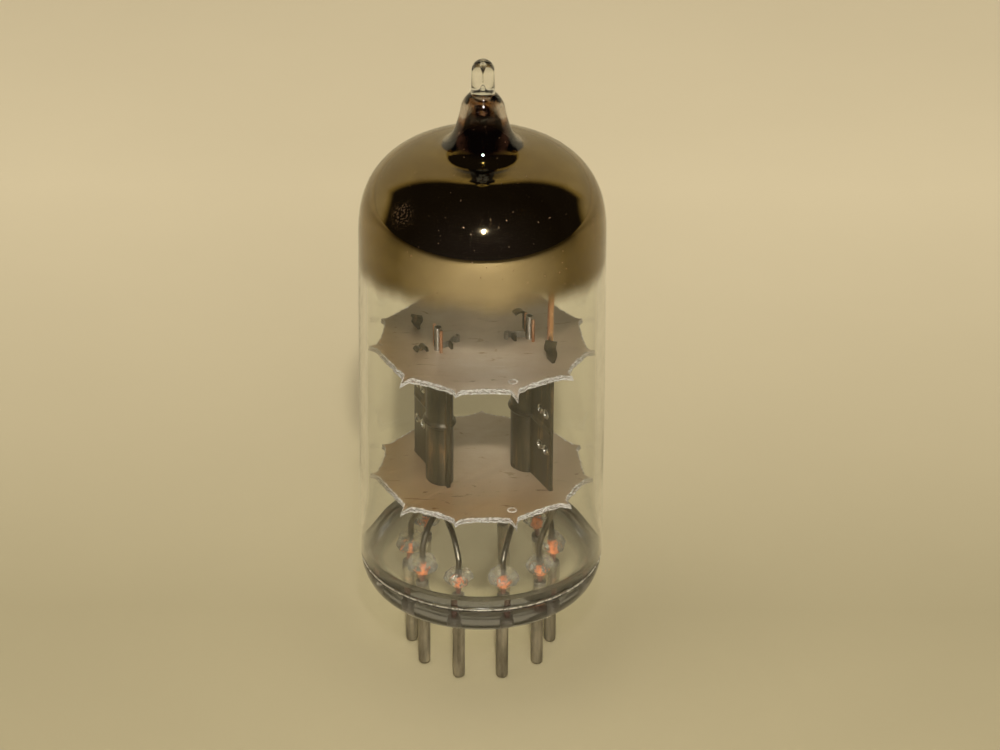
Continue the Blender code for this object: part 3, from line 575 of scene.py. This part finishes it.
def metal(name, dark, light, rough, metallic=1.0, gripped=None):
    """Drawn or rolled metal with streaks and tarnish, oxidised above the height where glass grips it."""
    made = Shader(name)
    drawn = (1.0, 1.0, 0.2)
    tone = made.noise(1.2, stretch=drawn, detail=7.0)
    finish = made.ramp(tone, [(0.32, dark), (0.68, light)])
    if gripped:
        buried = made.spread(made.along("Z"), 0.0, 0.9, gripped, gripped + 0.15 * MM)
        finish = made.mix(buried, finish, (0.13, 0.11, 0.085))
    made.colour(finish)
    made.roughness(made.spread(tone, *rough))
    made.set(Metallic=metallic)
    made.bump(made.noise(7.0, stretch=drawn, detail=4.0), 0.008 * MM, 0.5)
    return made.material


def copper_cladding():
    """Orange copper where it leaves the glass, burnt dark below."""
    made = Shader("copper_cladding")
    tone = made.noise(2.4, detail=5.0)
    fresh = made.ramp(tone, [(0.3, (0.55, 0.10, 0.03)), (0.55, (0.95, 0.28, 0.09)), (0.8, (1.0, 0.52, 0.25))])
    burnt = made.spread(made.along("Z"), 1.0, 0.0, STEM_FLOOR - 0.75 * MM, STEM_FLOOR - 0.4 * MM)
    made.colour(made.mix(burnt, fresh, (0.13, 0.06, 0.045)))
    made.roughness(made.spread(tone, 0.3, 0.55))
    made.set(Metallic=0.35)
    made.bump(tone, 0.02 * MM, 0.5)
    return made.material


def alumina():
    """White insulating coat of the heaters."""
    made = Shader("alumina_coating")
    grain = made.noise(5.0, detail=6.0)
    made.colour(made.ramp(grain, [(0.3, (0.62, 0.6, 0.56)), (0.7, (0.88, 0.87, 0.83))]))
    made.roughness(made.spread(grain, 0.7, 0.95))
    made.bump(grain, 0.03 * MM, 0.6)
    return made.material


def floor_finish():
    """Pale plain floor, deeper in tone towards the front, and lit by itself far behind the tube."""
    made = Shader("pale_floor")
    tone = made.noise(0.012, detail=6.0)
    front = made.ramp(tone, [(0.3, (0.36, 0.305, 0.18)), (0.7, (0.39, 0.33, 0.195))])
    rear = made.ramp(tone, [(0.3, (0.70, 0.595, 0.39)), (0.7, (0.74, 0.63, 0.415))])
    made.colour(made.mix(made.spread(made.along("Y"), 0.0, 1.0, 0.005, 0.085), front, rear))
    made.roughness(made.spread(tone, 0.75, 0.9))
    made.set(Specular_IOR_Level=0.2, Emission_Color=PALE_ROOM)
    made.link(made.spread(made.along("Y"), 0.0, 0.6, 0.15, 0.35), made.bsdf.inputs["Emission Strength"])
    made.bump(made.noise(0.9, detail=5.0), 0.02 * MM, 0.35)
    return made.material


LOOK = {
    "glass": clear_glass(), "stem": stem_glass(), "bead": bead_glass(), "film": mirror_film(),
    # the lower spacer gets the darker copy of the mica, painted shade
    "mica_upper": mica_face("mica_face_upper", 0.0), "mica_lower": mica_face("mica_face_lower_shaded", 0.7),
    "mica_edge": mica_edge(), "carbon": carbonised(), "void": void_skin(), "seam": seam_glass(),
    "pin": metal("pin_nickel", (0.12, 0.10, 0.065), (0.36, 0.31, 0.21), (0.35, 0.55), 0.55, SEAT),
    "lead": metal("lead_nickel", (0.10, 0.09, 0.075), (0.34, 0.30, 0.24), (0.25, 0.5)),
    "ribbon": metal("ribbon_nickel", (0.16, 0.14, 0.11), (0.46, 0.41, 0.34), (0.3, 0.55), 0.7),
    "bright": metal("bright_nickel", (0.45, 0.44, 0.42), (0.72, 0.70, 0.66), (0.18, 0.35)),
    "copper": metal("drawn_copper", (0.72, 0.34, 0.17), (0.96, 0.62, 0.42), (0.16, 0.34)),
    "cladding": copper_cladding(), "alumina": alumina(),
}


# ---------------------------------------- camera, light and floor
def place_camera():
    """The photo's own view: pitched down, rolled a little, aimed just right of the tube."""
    forward = Vector((0.0, math.cos(CAMERA_PITCH), -math.sin(CAMERA_PITCH)))
    right = Vector((1.0, 0.0, 0.0))
    up = right.cross(forward)
    rolled_right = right * math.cos(CAMERA_ROLL) - up * math.sin(CAMERA_ROLL)
    rolled_up = right * math.sin(CAMERA_ROLL) + up * math.cos(CAMERA_ROLL)
    place = Matrix((rolled_right, rolled_up, -forward)).transposed().to_4x4()
    place.translation = CAMERA_AIM - forward * CAMERA_DISTANCE
    lens = bpy.data.cameras.new("camera")
    lens.sensor_width = 36.0
    lens.lens = FOCAL_LENGTH
    lens.clip_start, lens.clip_end = 0.01, 20.0
    camera = bpy.data.objects.new("camera", lens)
    camera.matrix_world = place
    bpy.context.scene.collection.objects.link(camera)
    bpy.context.scene.camera = camera


def lay_floor():
    bm = bmesh.new()
    bmesh.ops.create_grid(bm, x_segments=8, y_segments=8, size=3.0)
    mesh = bpy.data.meshes.new("floor")
    bm.to_mesh(mesh)
    bm.free()
    mesh.materials.append(floor_finish())
    floor = bpy.data.objects.new("floor", mesh)
    bpy.context.scene.collection.objects.link(floor)


def lamp(name, position, size, power, colour, reflected):
    """Round soft light aimed at the tube; only a reflected one shows in the glass."""
    data = bpy.data.lights.new(name, "AREA")
    data.shape = "DISK"
    data.size = size
    data.energy = power
    data.color = colour
    made = bpy.data.objects.new(name, data)
    made.location = position
    made.rotation_euler = (LAMP_AIM - Vector(position)).to_track_quat("-Z", "Y").to_euler()
    made.visible_glossy = reflected
    made.visible_transmission = reflected
    bpy.context.scene.collection.objects.link(made)


def light_room():
    """Pale room beyond the tube, dark behind the camera, with the border bent up at both sides."""
    world = bpy.data.worlds.new("studio")
    bpy.context.scene.world = world
    world.use_nodes = True
    made = Nodes(world.node_tree)
    direction = made.node("ShaderNodeTexCoord")
    split = made.node("ShaderNodeSeparateXYZ")
    made.link(direction.outputs["Generated"], split.inputs["Vector"])
    border = split.outputs["Y"]
    for first, last, lift in ROOM_SIDES:
        border = made.maths("ADD", border, made.spread(split.outputs["X"], 0.0, lift, first, last))
    edge = made.spread(border, 0.0, 1.0, *ROOM_BORDER, "SMOOTHSTEP")
    background = made.tree.nodes["Background"]
    background.inputs["Strength"].default_value = 1.0
    made.link(made.mix(edge, DARK_ROOM, PALE_ROOM), background.inputs["Color"])


def make_stage():
    place_camera()
    lay_floor()
    lamp("front_softbox", (0.0098, -0.299, 0.320), 0.02, 1.5, (1.0, 0.97, 0.9), True)
    lamp("overhead_fill", (-0.1, -0.1, 0.9), 0.7, 3.5, (1.0, 0.98, 0.94), False)
    lamp("low_fill", (0.06, -0.5, 0.16), 0.3, 1.1, (1.0, 0.98, 0.94), False)
    light_room()
    scene = bpy.context.scene
    scene.view_settings.view_transform = "Standard"
    scene.cycles.max_bounces = GLASS_BOUNCES
    scene.cycles.transmission_bounces = GLASS_BOUNCES
    scene.cycles.transparent_max_bounces = GLASS_BOUNCES


# ---------------------------------------- glass
def in_metres(points):
    """(radius, height) points given in millimetres."""
    return [(radius * MM, height * MM) for radius, height in points]


def smooth_profile(points):
    return [tuple(point) for point in spline(points, PROFILE_STEPS)]


def dome_arc(inset):
    """Superelliptic dome from the wall to the neck, drawn in by an inset."""
    power = 2 / DOME_ROUNDNESS
    arc = []
    for i in range(DOME_STEPS + 1):
        angle = CROWN_END * i / DOME_STEPS
        radius = CROWN_RADIUS + (RADIUS - inset - CROWN_RADIUS) * math.cos(angle) ** power
        arc.append((radius, DOME_START + (DOME_HEIGHT - inset) * math.sin(angle) ** power))
    return arc


def straight_wall(radius):
    return [(radius, SEAM + (DOME_START - SEAM) * part) for part in (0.25, 0.5, 0.75)]


def outer_profile():
    """Bulb wall, dome, fused collar and drawn tip, from the sealed edge up to the point."""
    foot = [(RADIUS - 0.22 * MM, SEAM), (RADIUS - 0.06 * MM, SEAM + 0.05 * MM), (RADIUS, SEAM + 0.25 * MM)]
    dome = dome_arc(0.0)
    neck = [dome[-1]] + in_metres(NECK_OUTSIDE)
    neck += [(TIP_RADIUS + 0.005 * MM, 53.9 * MM), (TIP_RADIUS, TOP - TIP_RADIUS)]
    cap = []
    for i in range(1, 10):
        angle = math.pi / 2 * i / 10
        cap.append((TIP_RADIUS * math.cos(angle), TOP - TIP_RADIUS * (1 - math.sin(angle))))
    return foot + straight_wall(RADIUS) + dome[:-1] + smooth_profile(neck) + cap + [(0.0, TOP)]


def inner_profile():
    """Inside of the bulb, closing to a rounded end in the sealed tubulation."""
    dome = dome_arc(WALL)
    neck = [dome[-1]] + in_metres(NECK_INSIDE + CAVITY_END)
    foot = [(INNER_RADIUS, SEAM + 0.1 * MM)]
    end = [(0.0, 53.55 * MM)]
    return foot + straight_wall(INNER_RADIUS) + dome[:-1] + smooth_profile(neck) + end


def draw_in(bm):
    """The blown bulb draws in slightly towards the dome."""
    for vert in bm.verts:
        share = max(0.0, min(1.0, (vert.co.z - DRAW_LOW) / (DRAW_HIGH - DRAW_LOW)))
        vert.co.xy *= 1.0 - DRAW_SHARE * share * share * (3.0 - 2.0 * share)


def waver(bm, amount, per_mm, seed):
    """Push a turned surface in and out a little, as blown glass is."""
    for vert in bm.verts:
        radius = vert.co.xy.length
        if radius < 0.2 * MM:
            continue
        push = noise.noise(vert.co * (per_mm / MM) + Vector((seed, 0.0, 0.0))) * amount
        vert.co.xy *= 1.0 + push / radius


def dent_end(bm):
    """Dent the softened end of the cavity where the tubulation was drawn off."""
    for vert in bm.verts:
        radius = vert.co.xy.length
        share = max(0.0, min(1.0, (vert.co.z - DENT_START) / (1.2 * MM)))
        if share > 0.0 and radius > 0.05 * MM:
            push = noise.noise(vert.co * (1.5 / MM)) * DENT_DEPTH * share * min(1.0, radius / (0.5 * MM))
            vert.co.xy *= 1.0 + push / radius


def make_glass():
    """Bulb with its closed cavity, and the bubble trapped in the tip."""
    bulb = lathe(outer_profile(), GLASS_SIDES)
    waver(bulb, 0.012 * MM, 0.11, 3.0)
    inner = lathe(inner_profile(), GLASS_SIDES)
    waver(inner, *INSIDE_WAVER)
    dent_end(inner)
    mesh = bpy.data.meshes.new("inner")
    inner.to_mesh(mesh)
    inner.free()
    bulb.from_mesh(mesh)
    bpy.data.meshes.remove(mesh)
    bmesh.ops.bridge_loops(bulb, edges=[edge for edge in bulb.edges if edge.is_boundary])
    draw_in(bulb)
    void = lathe([(abs(radius), height) for radius, height in spline(in_metres(BUBBLE), 3)[1:-1]], 24)
    bmesh.ops.holes_fill(void, edges=[edge for edge in void.edges if edge.is_boundary], sides=0)
    piece("bulb_glass", bulb, [LOOK["glass"]], ("bulb", "exhaust_tip"), 60.0)
    piece("tip_capillary", void, [LOOK["void"]], (), 60.0)


def stem_profile():
    """Flat underside, rounded ring, lip under the bulb and shallow dish inside."""
    rim = RADIUS - 0.08 * MM
    top = SEAM - 0.03 * MM
    under = [(0.0, SEAT), (3.0 * MM, SEAT), (6.8 * MM, SEAT), (7.9 * MM, SEAT + 0.06 * MM)]
    under += in_metres([(8.8, 6.75), (9.5, 7.3), (9.95, 8.05), (10.17, 8.75)]) + [(rim, top - 0.25 * MM)]
    edge = INNER_RADIUS - 0.05 * MM
    lip = [(rim - 0.03 * MM, top - 0.07 * MM), (rim - 0.14 * MM, top), (edge, top)]
    dish = [(edge, 10.75 * MM), (edge - 0.08 * MM, 10.5 * MM), (edge - 0.35 * MM, 10.18 * MM)]
    dish += [(8.6 * MM, STEM_FLOOR + 0.08 * MM), (7.9 * MM, STEM_FLOOR), (4.0 * MM, STEM_FLOOR + 0.02 * MM)]
    dish += [(0.0, STEM_FLOOR + 0.05 * MM)]
    return smooth_profile(under) + lip + smooth_profile(dish)


def pin_places():
    """(number, point in plan) of each base pin."""
    places = []
    for number in range(1, 10):
        low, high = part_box(f"pin_{number}")
        middle = (low + high) / 2
        places.append((number, Vector((middle.x, middle.y))))
    return places


def make_stem():
    """Pressed stem, the seam that fuses it to the bulb, and a lumpy bead round each seal wire."""
    piece("stem_glass", lathe(stem_profile(), 128), [LOOK["stem"]], ("button_stem",), 50.0)
    middle, height, thick = RADIUS - 0.11 * MM, SEAM - 0.015 * MM, 0.085 * MM
    turns = [math.tau * i / 10 for i in range(10)]
    section = [(middle + thick * math.cos(turn), height + thick * math.sin(turn)) for turn in turns]
    piece("fused_seam", lathe(section, GLASS_SIDES), [LOOK["seam"]], (), 60.0)
    rng = random.Random(11)
    for number, place in pin_places():
        bead = bmesh.new()
        bmesh.ops.create_icosphere(bead, subdivisions=4, radius=1.0)
        wide = BEAD_RADIUS + rng.uniform(-0.08, 0.08) * MM
        shift = Vector((rng.random(), rng.random(), rng.random())) * 9.0
        for vert in bead.verts:
            lump = noise.noise(vert.co * 1.7 + shift) * 0.22
            chip = abs(noise.noise(vert.co * 4.2 + shift)) * 0.16
            grow = 1.0 + lump - chip
            vert.co = Vector((vert.co.x * wide, vert.co.y * wide, vert.co.z * BEAD_HALF_HEIGHT)) * grow
            vert.co += Vector((place.x, place.y, STEM_FLOOR + 0.6 * MM))
        piece(f"glass_bead_{number}", bead, [LOOK["bead"]], (), 28.0)


def make_film():
    """Mirror deposit on the inside of the dome and up into the neck, one with the glass."""
    neck_end = PROFILE_STEPS * (len(NECK_INSIDE) + 4) + 1

    def side(inset):
        dome = dome_arc(WALL + inset)
        radius = INNER_RADIUS - inset
        low = [(radius, FILM_LOW.z - 1.2 * MM), (radius, (FILM_LOW.z + DOME_START) / 2)]
        neck = [(r - inset, z) for r, z in in_metres(NECK_INSIDE + CAVITY_END)]
        return low + dome[:-1] + smooth_profile([dome[-1]] + neck)[:neck_end]

    film = lathe(side(-FILM_HALF_SHEET) + side(FILM_HALF_SHEET)[::-1], GLASS_SIDES)
    waver(film, *INSIDE_WAVER)
    dent_end(film)
    draw_in(film)
    piece("getter_mirror", film, [LOOK["film"]], ("getter_flash",), 60.0)


# ---------------------------------------- pins and wires
def make_pins():
    """Round-nosed base pins, each with its copper seal wire above."""
    profile = [(0.0, 0.0), (0.06 * MM, 0.0)]
    for i in range(9):
        angle = math.pi / 2 * (i / 8 - 1.0)
        profile.append((PIN_RADIUS - PIN_NOSE * (1.0 - math.cos(angle)), PIN_NOSE * (1.0 + math.sin(angle))))
    profile += [(PIN_RADIUS, 2.0 * MM), (PIN_RADIUS, 5.0 * MM), (PIN_RADIUS, PIN_TOP - 0.1 * MM)]
    profile += [(PIN_RADIUS - 0.1 * MM, PIN_TOP), (0.0, PIN_TOP)]
    for number, place in pin_places():
        pin = lathe(profile, 36, place)
        piece(f"base_pin_{number}", pin, [LOOK["pin"]], (f"pin_{number}",))
        ends = [(*place, PIN_TOP + 0.05 * MM), (*place, SEAL_TOP)]
        seal = tube(*round_ended(spline(ends, 6), SEAL_RADIUS))
        piece(f"copper_seal_{number}", seal, [LOOK["cladding"]], (f"seal_wire_{number}",))


class Unit:
    """One triode in plan: u runs along the long fin, v to the outer side."""

    def __init__(self, side):
        self.side = side
        self.sign = 1.0 if side == "right" else -1.0
        self.centre = UNIT_CENTRES[side]
        self.along = polar(1.0, FIN_ANGLE) * self.sign
        self.outward = Vector((-self.along.y, self.along.x))
        if self.outward.x * self.sign < 0.0:
            self.outward = -self.outward
        self.core = self.at(*CORE_SHIFT[side])
        self.grid_axis = polar(1.0, FIN_ANGLE)

    def at(self, u, v):
        return self.centre + self.along * u + self.outward * v

    def grid_rod(self, which):
        return self.core + self.grid_axis * (GRID_HALF_SPAN if which == "near" else -GRID_HALF_SPAN)


UNITS = [Unit("left"), Unit("right")]


def make_leads():
    """Wires from the stem up to the electrodes: plates, grids, cathodes, heaters and the centre tap."""
    left, right = UNITS
    fin = 0.1 * MM + PLATE_SHEET / 2 + LEAD_RADIUS
    rod_side = Vector((GRID_ROD_RADIUS + LEAD_RADIUS, 0.0))
    heater_side = Vector((0.48 * MM, 0.0))
    ends = {
        1: (left.at(FIN_EAR_PLACE, fin), 16.5), 2: (left.grid_rod("far") - rod_side, 16.7),
        3: (left.core + Vector((-0.12, -0.4)) * MM, 15.9), 4: (left.core + heater_side, 15.5),
        5: (right.core - heater_side, 15.5), 6: (right.at(FIN_EAR_PLACE, fin), 16.5),
        7: (right.grid_rod("near") + rod_side, 16.7),
        8: (right.core + Vector((0.66, 0.2)) * MM, 15.9), 9: (Vector((0.4, 2.2)) * MM, 14.95),
    }
    for number, foot in pin_places():
        end, height = ends[number]
        height *= MM
        rise = BEAD_TOP + 0.9 * MM
        bend = foot.lerp(end, 0.35)
        points = [(*foot, SEAL_TOP - 0.1 * MM), (*foot, (SEAL_TOP + rise) / 2), (*foot, rise)]
        points += [(*bend, rise + 1.2 * MM), (*end, height - 1.3 * MM), (*end, height)]
        wire = tube(*round_ended(spline(points, 7), LEAD_RADIUS), 16)
        piece(f"inner_lead_{number}", wire, [LOOK["lead"]], (f"lead_{number}",))


# ---------------------------------------- plates
def plate_path(unit, outer, swell):
    """Middle line in plan of a plate half: short fin, half-round channel and long fin."""
    side = 1.0 if outer else -1.0
    seam = side * PLATE_SEAM
    points = [(SHORT_FIN_END, seam), (-PLATE_HALF_LENGTH - 0.14 * MM, seam)]
    count = 26
    for i in range(count + 1):
        angle = math.pi * (1.0 - i / count)
        across = (PLATE_HALF_WIDTH + swell) * math.sin(angle) * side
        if abs(across) > abs(seam) * 1.6:
            points.append(((PLATE_HALF_LENGTH + swell) * math.cos(angle), across))
    fin = seam + side * swell * 0.5
    points.append((PLATE_HALF_LENGTH + 0.16 * MM + swell, fin))
    for part in (0.2, 0.4, 0.6, 0.8, 0.93):
        points.append((PLATE_HALF_LENGTH + (LONG_FIN_END - PLATE_HALF_LENGTH) * part + 0.1 * MM, fin))
    points.append((LONG_FIN_END, seam))
    return [unit.at(u, v) for u, v in points]


def plate_half(unit, outer):
    """Stamped half of a plate, with a pressed rib round its middle."""
    rings = []
    levels = [(PLATE_BOTTOM, 0.0), (PLATE_BOTTOM + 0.06 * MM, 0.0)]
    for i in range(9):
        across = -1.0 + 2.0 * i / 8
        levels.append((RIB_HEIGHT + across * RIB_HALF, math.cos(across * math.pi / 2) ** 2))
    levels += [(PLATE_TOP - 0.06 * MM, 0.0), (PLATE_TOP, 0.0)]
    for height, swell in levels:
        path = plate_path(unit, outer, swell * RIB_REACH)
        rings.append([(point.x, point.y, height) for point in thick_path(path, PLATE_SHEET)])
    return lofted(rings)


def add_ear(bm, unit, u, v, width, path, twist=0.0):
    """Strip standing along the fin; path holds (outward, height) points of its middle."""
    rings = []
    path = smooth_profile(path)
    for i, (out, height) in enumerate(path):
        before, after = path[max(i - 1, 0)], path[min(i + 1, len(path) - 1)]
        run = Vector((after[0] - before[0], after[1] - before[1])).normalized()
        share = max(0.0, min(1.0, (height - UPPER_MICA) / (EAR_TOP - UPPER_MICA)))
        turn = Matrix.Rotation(twist * min(1.0, share * 1.6), 2)
        middle = unit.at(u, v + out)
        along = turn @ unit.along * (width / 2)
        across = turn @ unit.outward * (EAR_SHEET / 2 * run.y)
        rise = -run.x * EAR_SHEET / 2
        corners = [(middle - along - across, -rise), (middle + along - across, -rise)]
        corners += [(middle + along + across, rise), (middle - along + across, rise)]
        rings.append([(corner.x, corner.y, height + lift) for corner, lift in corners])
    lofted(rings, bm)


def make_plates(unit):
    """Two halves of a plate, with their ears through the spacers, some of them bent over."""
    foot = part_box(f"plate_{unit.side}_outer")[0].z
    root, stub = PLATE_TOP - 0.3 * MM, PLATE_BOTTOM + 0.3 * MM
    outer = plate_half(unit, True)
    rise = EAR_TOP - UPPER_MICA if unit.side == "right" else 1.1 * MM
    standing = [(0.0, root), (0.0, UPPER_MICA), (0.09 * MM, UPPER_MICA + 0.35 * rise)]
    standing += [(-0.07 * MM, UPPER_MICA + 0.65 * rise), (0.05 * MM, UPPER_MICA + rise)]
    add_ear(outer, unit, FIN_EAR_PLACE, PLATE_SEAM, FIN_EAR_WIDTH, standing, math.radians(50))
    add_ear(outer, unit, FIN_EAR_PLACE, PLATE_SEAM, FIN_EAR_WIDTH, [(0.0, foot), (0.0, stub)])
    if unit.side == "left":
        place = (0.5 * MM, 0.98 * MM)
        bends = [(0.0, 0.07), (0.1, 0.4), (0.32, 0.5), (0.55, 0.3), (0.8, 0.4), (0.98, 0.2)]
    else:
        place = (-1.2 * MM, 0.6 * MM)
        bends = [(0.0, 0.07), (0.0, 1.2), (-0.1, 1.6), (-0.35, 1.85), (-0.7, 1.9), (-1.05, 1.75)]
    bends = [(0.0, root)] + [(out * MM, UPPER_MICA + up * MM) for out, up in bends]
    add_ear(outer, unit, *place, EAR_WIDTH, bends)
    inner = plate_half(unit, False)
    low = LOWER_MICA - MICA_SHEET - 0.5 * MM
    for path in ([(0.0, root), (0.0, UPPER_MICA + 0.5 * MM)], [(0.0, low), (0.0, stub)]):
        add_ear(inner, unit, 0.0, -PLATE_HALF_WIDTH, EAR_WIDTH, path)
    for half, bm in (("outer", outer), ("inner", inner)):
        node = f"plate_{unit.side}_{half}"
        piece(f"anode_{unit.side}_{half}", bm, [LOOK["carbon"]], (node,))


def make_eyelets(unit):
    """Rolled eyelets through both sheets of the long fin."""
    half = PLATE_SHEET / MM + 0.02
    outline = [(0.2, -half - 0.02), (0.26, -half - 0.1), (0.38, -half - 0.09), (0.45, -half)]
    outline += [(0.36, -half + 0.02), (0.27, 0.0), (0.36, half - 0.02), (0.45, half)]
    outline += [(0.38, half + 0.09), (0.26, half + 0.1), (0.2, half + 0.02)]
    turn = Matrix.Rotation(math.atan2(unit.outward.y, unit.outward.x), 4, "Z")
    sideways = turn @ Matrix.Rotation(math.pi / 2, 4, "Y")
    number = 0
    for height in RIVET_HEIGHTS:
        for place in RIVET_PLACES:
            number += 1
            middle = unit.at(place, 0.0)
            ring = lathe(in_metres(outline), 28)
            seat = Matrix.Translation((middle.x, middle.y, height)) @ sideways
            bmesh.ops.transform(ring, matrix=seat, verts=ring.verts)
            piece(f"eyelet_{unit.side}_{number}", ring, [LOOK["bright"]], (f"rivet_{unit.side}_{number}",),
                  50.0)


# ---------------------------------------- grids, cathodes and ribbons
def make_grid(unit):
    """Two copper side rods with the fine wire wound round them."""
    for which in ("near", "far"):
        node = f"grid_rod_{unit.side}_{which}"
        low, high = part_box(node)
        place = unit.grid_rod(which)
        ends = [(*place, low.z), (*place, high.z)]
        rod = tube(*round_ended(spline(ends, 12), GRID_ROD_RADIUS), 18)
        piece(f"side_rod_{unit.side}_{which}", rod, [LOOK["copper"]], (node,))
    node = f"grid_winding_{unit.side}"
    low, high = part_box(node)
    across_axis = Vector((-unit.grid_axis.y, unit.grid_axis.x))
    half_long = GRID_HALF_SPAN + GRID_ROD_RADIUS + GRID_WIRE_RADIUS
    half_wide = CATHODE_RADIUS + 0.12 * MM
    count = GRID_TURNS * GRID_STEPS
    points = []
    for i in range(count + 1):
        angle = math.tau * i / GRID_STEPS
        place = unit.core + unit.grid_axis * half_long * math.cos(angle)
        place += across_axis * half_wide * math.sin(angle)
        points.append((place.x, place.y, low.z + (high.z - low.z) * i / count))
    wire = tube(points, GRID_WIRE_RADIUS, 6)
    piece(f"grid_wire_{unit.side}", wire, [LOOK["bright"]], (node,))


def make_ribbon(unit):
    """Nickel ribbon from the cathode, standing on edge and curled at its end."""
    node = f"cathode_tab_{unit.side}"
    low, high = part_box(node)
    start = unit.core + Vector((-(CATHODE_RADIUS + 0.03 * MM) * unit.sign, 0.0))
    curl = Vector((2.15, 0.25)) * MM * unit.sign
    points = [start, start.lerp(curl, 0.5) + Vector((0.0, 0.15 * MM * unit.sign))]
    for i in range(7):
        angle = math.radians(-60 + 40 * i)
        points.append(curl + Vector((-math.sin(angle), math.cos(angle))) * RIBBON_CURL * unit.sign)
    outline = thick_path(spline(points, 4), RIBBON_SHEET)
    rings = [[(p.x, p.y, height) for p in outline] for height in (low.z, high.z)]
    piece(f"cathode_ribbon_{unit.side}", lofted(rings), [LOOK["ribbon"]], (node,))


# ---------------------------------------- mica
def mica_outline(node):
    """Plan outline of a packed spacer, read from its rim, as (point, drop) pairs."""
    rim = {}
    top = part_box(node)[1].z
    for vert in NODES[node].data.vertices:
        if vert.co.xy.length > 8.2 * MM:
            key = round(math.degrees(math.atan2(vert.co.x, -vert.co.y)), 1)
            height = max(rim.get(key, (0, -1.0))[1], vert.co.z)
            reach = 0.965 if abs(key - CHIPPED_TOOTH) < 1.0 else 1.0
            rim[key] = (Vector((vert.co.x, vert.co.y)) * reach, height)
    return [(rim[key][0], top - rim[key][1]) for key in sorted(rim)]


def fine_outline(coarse, seed, chip):
    """Outline with hollow flanks at the teeth and small chips along the bays."""
    made = []
    count = len(coarse)
    for i in range(count):
        (p0, d0), (p1, d1) = coarse[i], coarse[(i + 1) % count]
        steps = max(3, int((p1 - p0).length / (0.15 * MM)))
        flank = abs(p1.length - p0.length) > 0.4 * MM
        for k in range(steps):
            part = k / steps
            point = p0.lerp(p1, part)
            drop = d0 + (d1 - d0) * (part * part if d1 > d0 else 1.0 - (1.0 - part) ** 2)
            push = chip * (rough_at(point, 2.3, seed) + 0.6 * rough_at(point, 5.5, seed))
            if flank:
                push = 0.4 * push - math.sin(math.pi * part) * 0.07 * MM
            made.append((point * (1.0 + push / point.length), drop))
    return made


def rough_at(point, per_mm, seed):
    """Smooth noise in plan, about -1 .. 1, with that many features to the millimetre."""
    return noise.noise(Vector((point.x, point.y, 0.0)) * (per_mm / MM) + Vector((0.0, 0.0, seed)))


def make_mica(node, name, seed):
    """Spacer of two split sheets, with uneven edges and a burr round its vent hole."""
    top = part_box(node)[1].z
    coarse = mica_outline(node)
    bm = bmesh.new()
    sheets = len(SPLIT_INSETS)
    pitch = MICA_SHEET / sheets
    for sheet, inset in enumerate(SPLIT_INSETS):
        outline = fine_outline(coarse, seed + sheet, CHIP_DEPTH)
        under = top - MICA_SHEET + sheet * pitch
        over = under + pitch - (SPLIT_GAP if sheet < sheets - 1 else 0.0)
        rings = []
        for height in (under, over):
            ring = []
            for point, drop in outline:
                shrunk = point * (1.0 - inset / point.length)
                ripple = 0.05 * MM * rough_at(point, 1.3, seed + 7 * sheet)
                ring.append((shrunk.x, shrunk.y, height - drop + ripple))
            rings.append(ring)
        inner = [[(x * 0.93, y * 0.93, height) for x, y, _ in ring]
                 for ring, height in zip(rings, (under, over))]
        worn = []
        for x, y, height in rings[1]:
            share = 0.988 + 0.012 * rough_at(Vector((x, y)), 3.0, seed + 3)
            worn.append((x * share, y * share, height + 0.01 * MM))
        count = len(outline)
        loops = [[bm.verts.new(co) for co in ring] for ring in (inner[0], rings[0], rings[1], worn, inner[1])]
        for a, b in zip(loops, loops[1:]):
            for i in range(count):
                j = (i + 1) % count
                face = bm.faces.new((a[i], a[j], b[j], b[i]))
                face.material_index = 1 if a is loops[1] or a is loops[2] else 0
        bm.faces.new(loops[0][::-1])
        bm.faces.new(loops[4])
    burr = [(0.25, -0.03), (0.43, -0.03), (0.38, 0.05), (0.29, 0.05)]
    faces_before = len(bm.faces)
    lathe([(r * MM, top + z * MM) for r, z in burr], 24, polar(VENT_RADIUS, VENT_ANGLE), bm)
    bm.faces.ensure_lookup_table()
    for face in bm.faces[faces_before:]:
        face.material_index = 1
    piece(name, bm, [LOOK[f"mica_{node[:5]}"], LOOK["mica_edge"]], (node,), 30.0)


# ---------------------------------------- getter
def make_getter():
    """Copper wire that carries the getter ring, rising beside the right plate's ear."""
    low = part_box("getter_support")[0].z
    base = UNITS[1].at(FIN_EAR_PLACE, 0.0)
    foot = base + Vector((0.03 * MM, GETTER_WIRE_RADIUS + 0.36 * MM))
    ring = base.normalized() * (3.55 * MM + GETTER_WIRE_RADIUS)
    points = [(*foot, low), (*foot, low + 3.0 * MM), (*foot, 38.6 * MM)]
    points += [(*ring.lerp(foot, 0.35), 40.0 * MM), (*ring, 40.6 * MM)]
    wire = tube(*round_ended(spline(points, 8), GETTER_WIRE_RADIUS), 20)
    piece("getter_wire", wire, [LOOK["copper"]], ("getter_support",))


def finish_kept_nodes():
    """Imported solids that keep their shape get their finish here."""
    kept = {"getter_ring": "lead", "heater_bridge": "lead", "heater_left": "alumina",
            "heater_right": "alumina", "cathode_left": "bright", "cathode_right": "bright"}
    for node, look in kept.items():
        NODES[node].data.materials.clear()
        NODES[node].data.materials.append(LOOK[look])


# ---------------------------------------- assembly
make_stage()
make_glass()
make_stem()
make_film()
make_pins()
make_leads()
for unit in UNITS:
    make_plates(unit)
    make_eyelets(unit)
    make_grid(unit)
    make_ribbon(unit)
make_mica("upper_mica", "spacer_upper", 5)
make_mica("lower_mica", "spacer_lower", 8)
make_getter()
finish_kept_nodes()
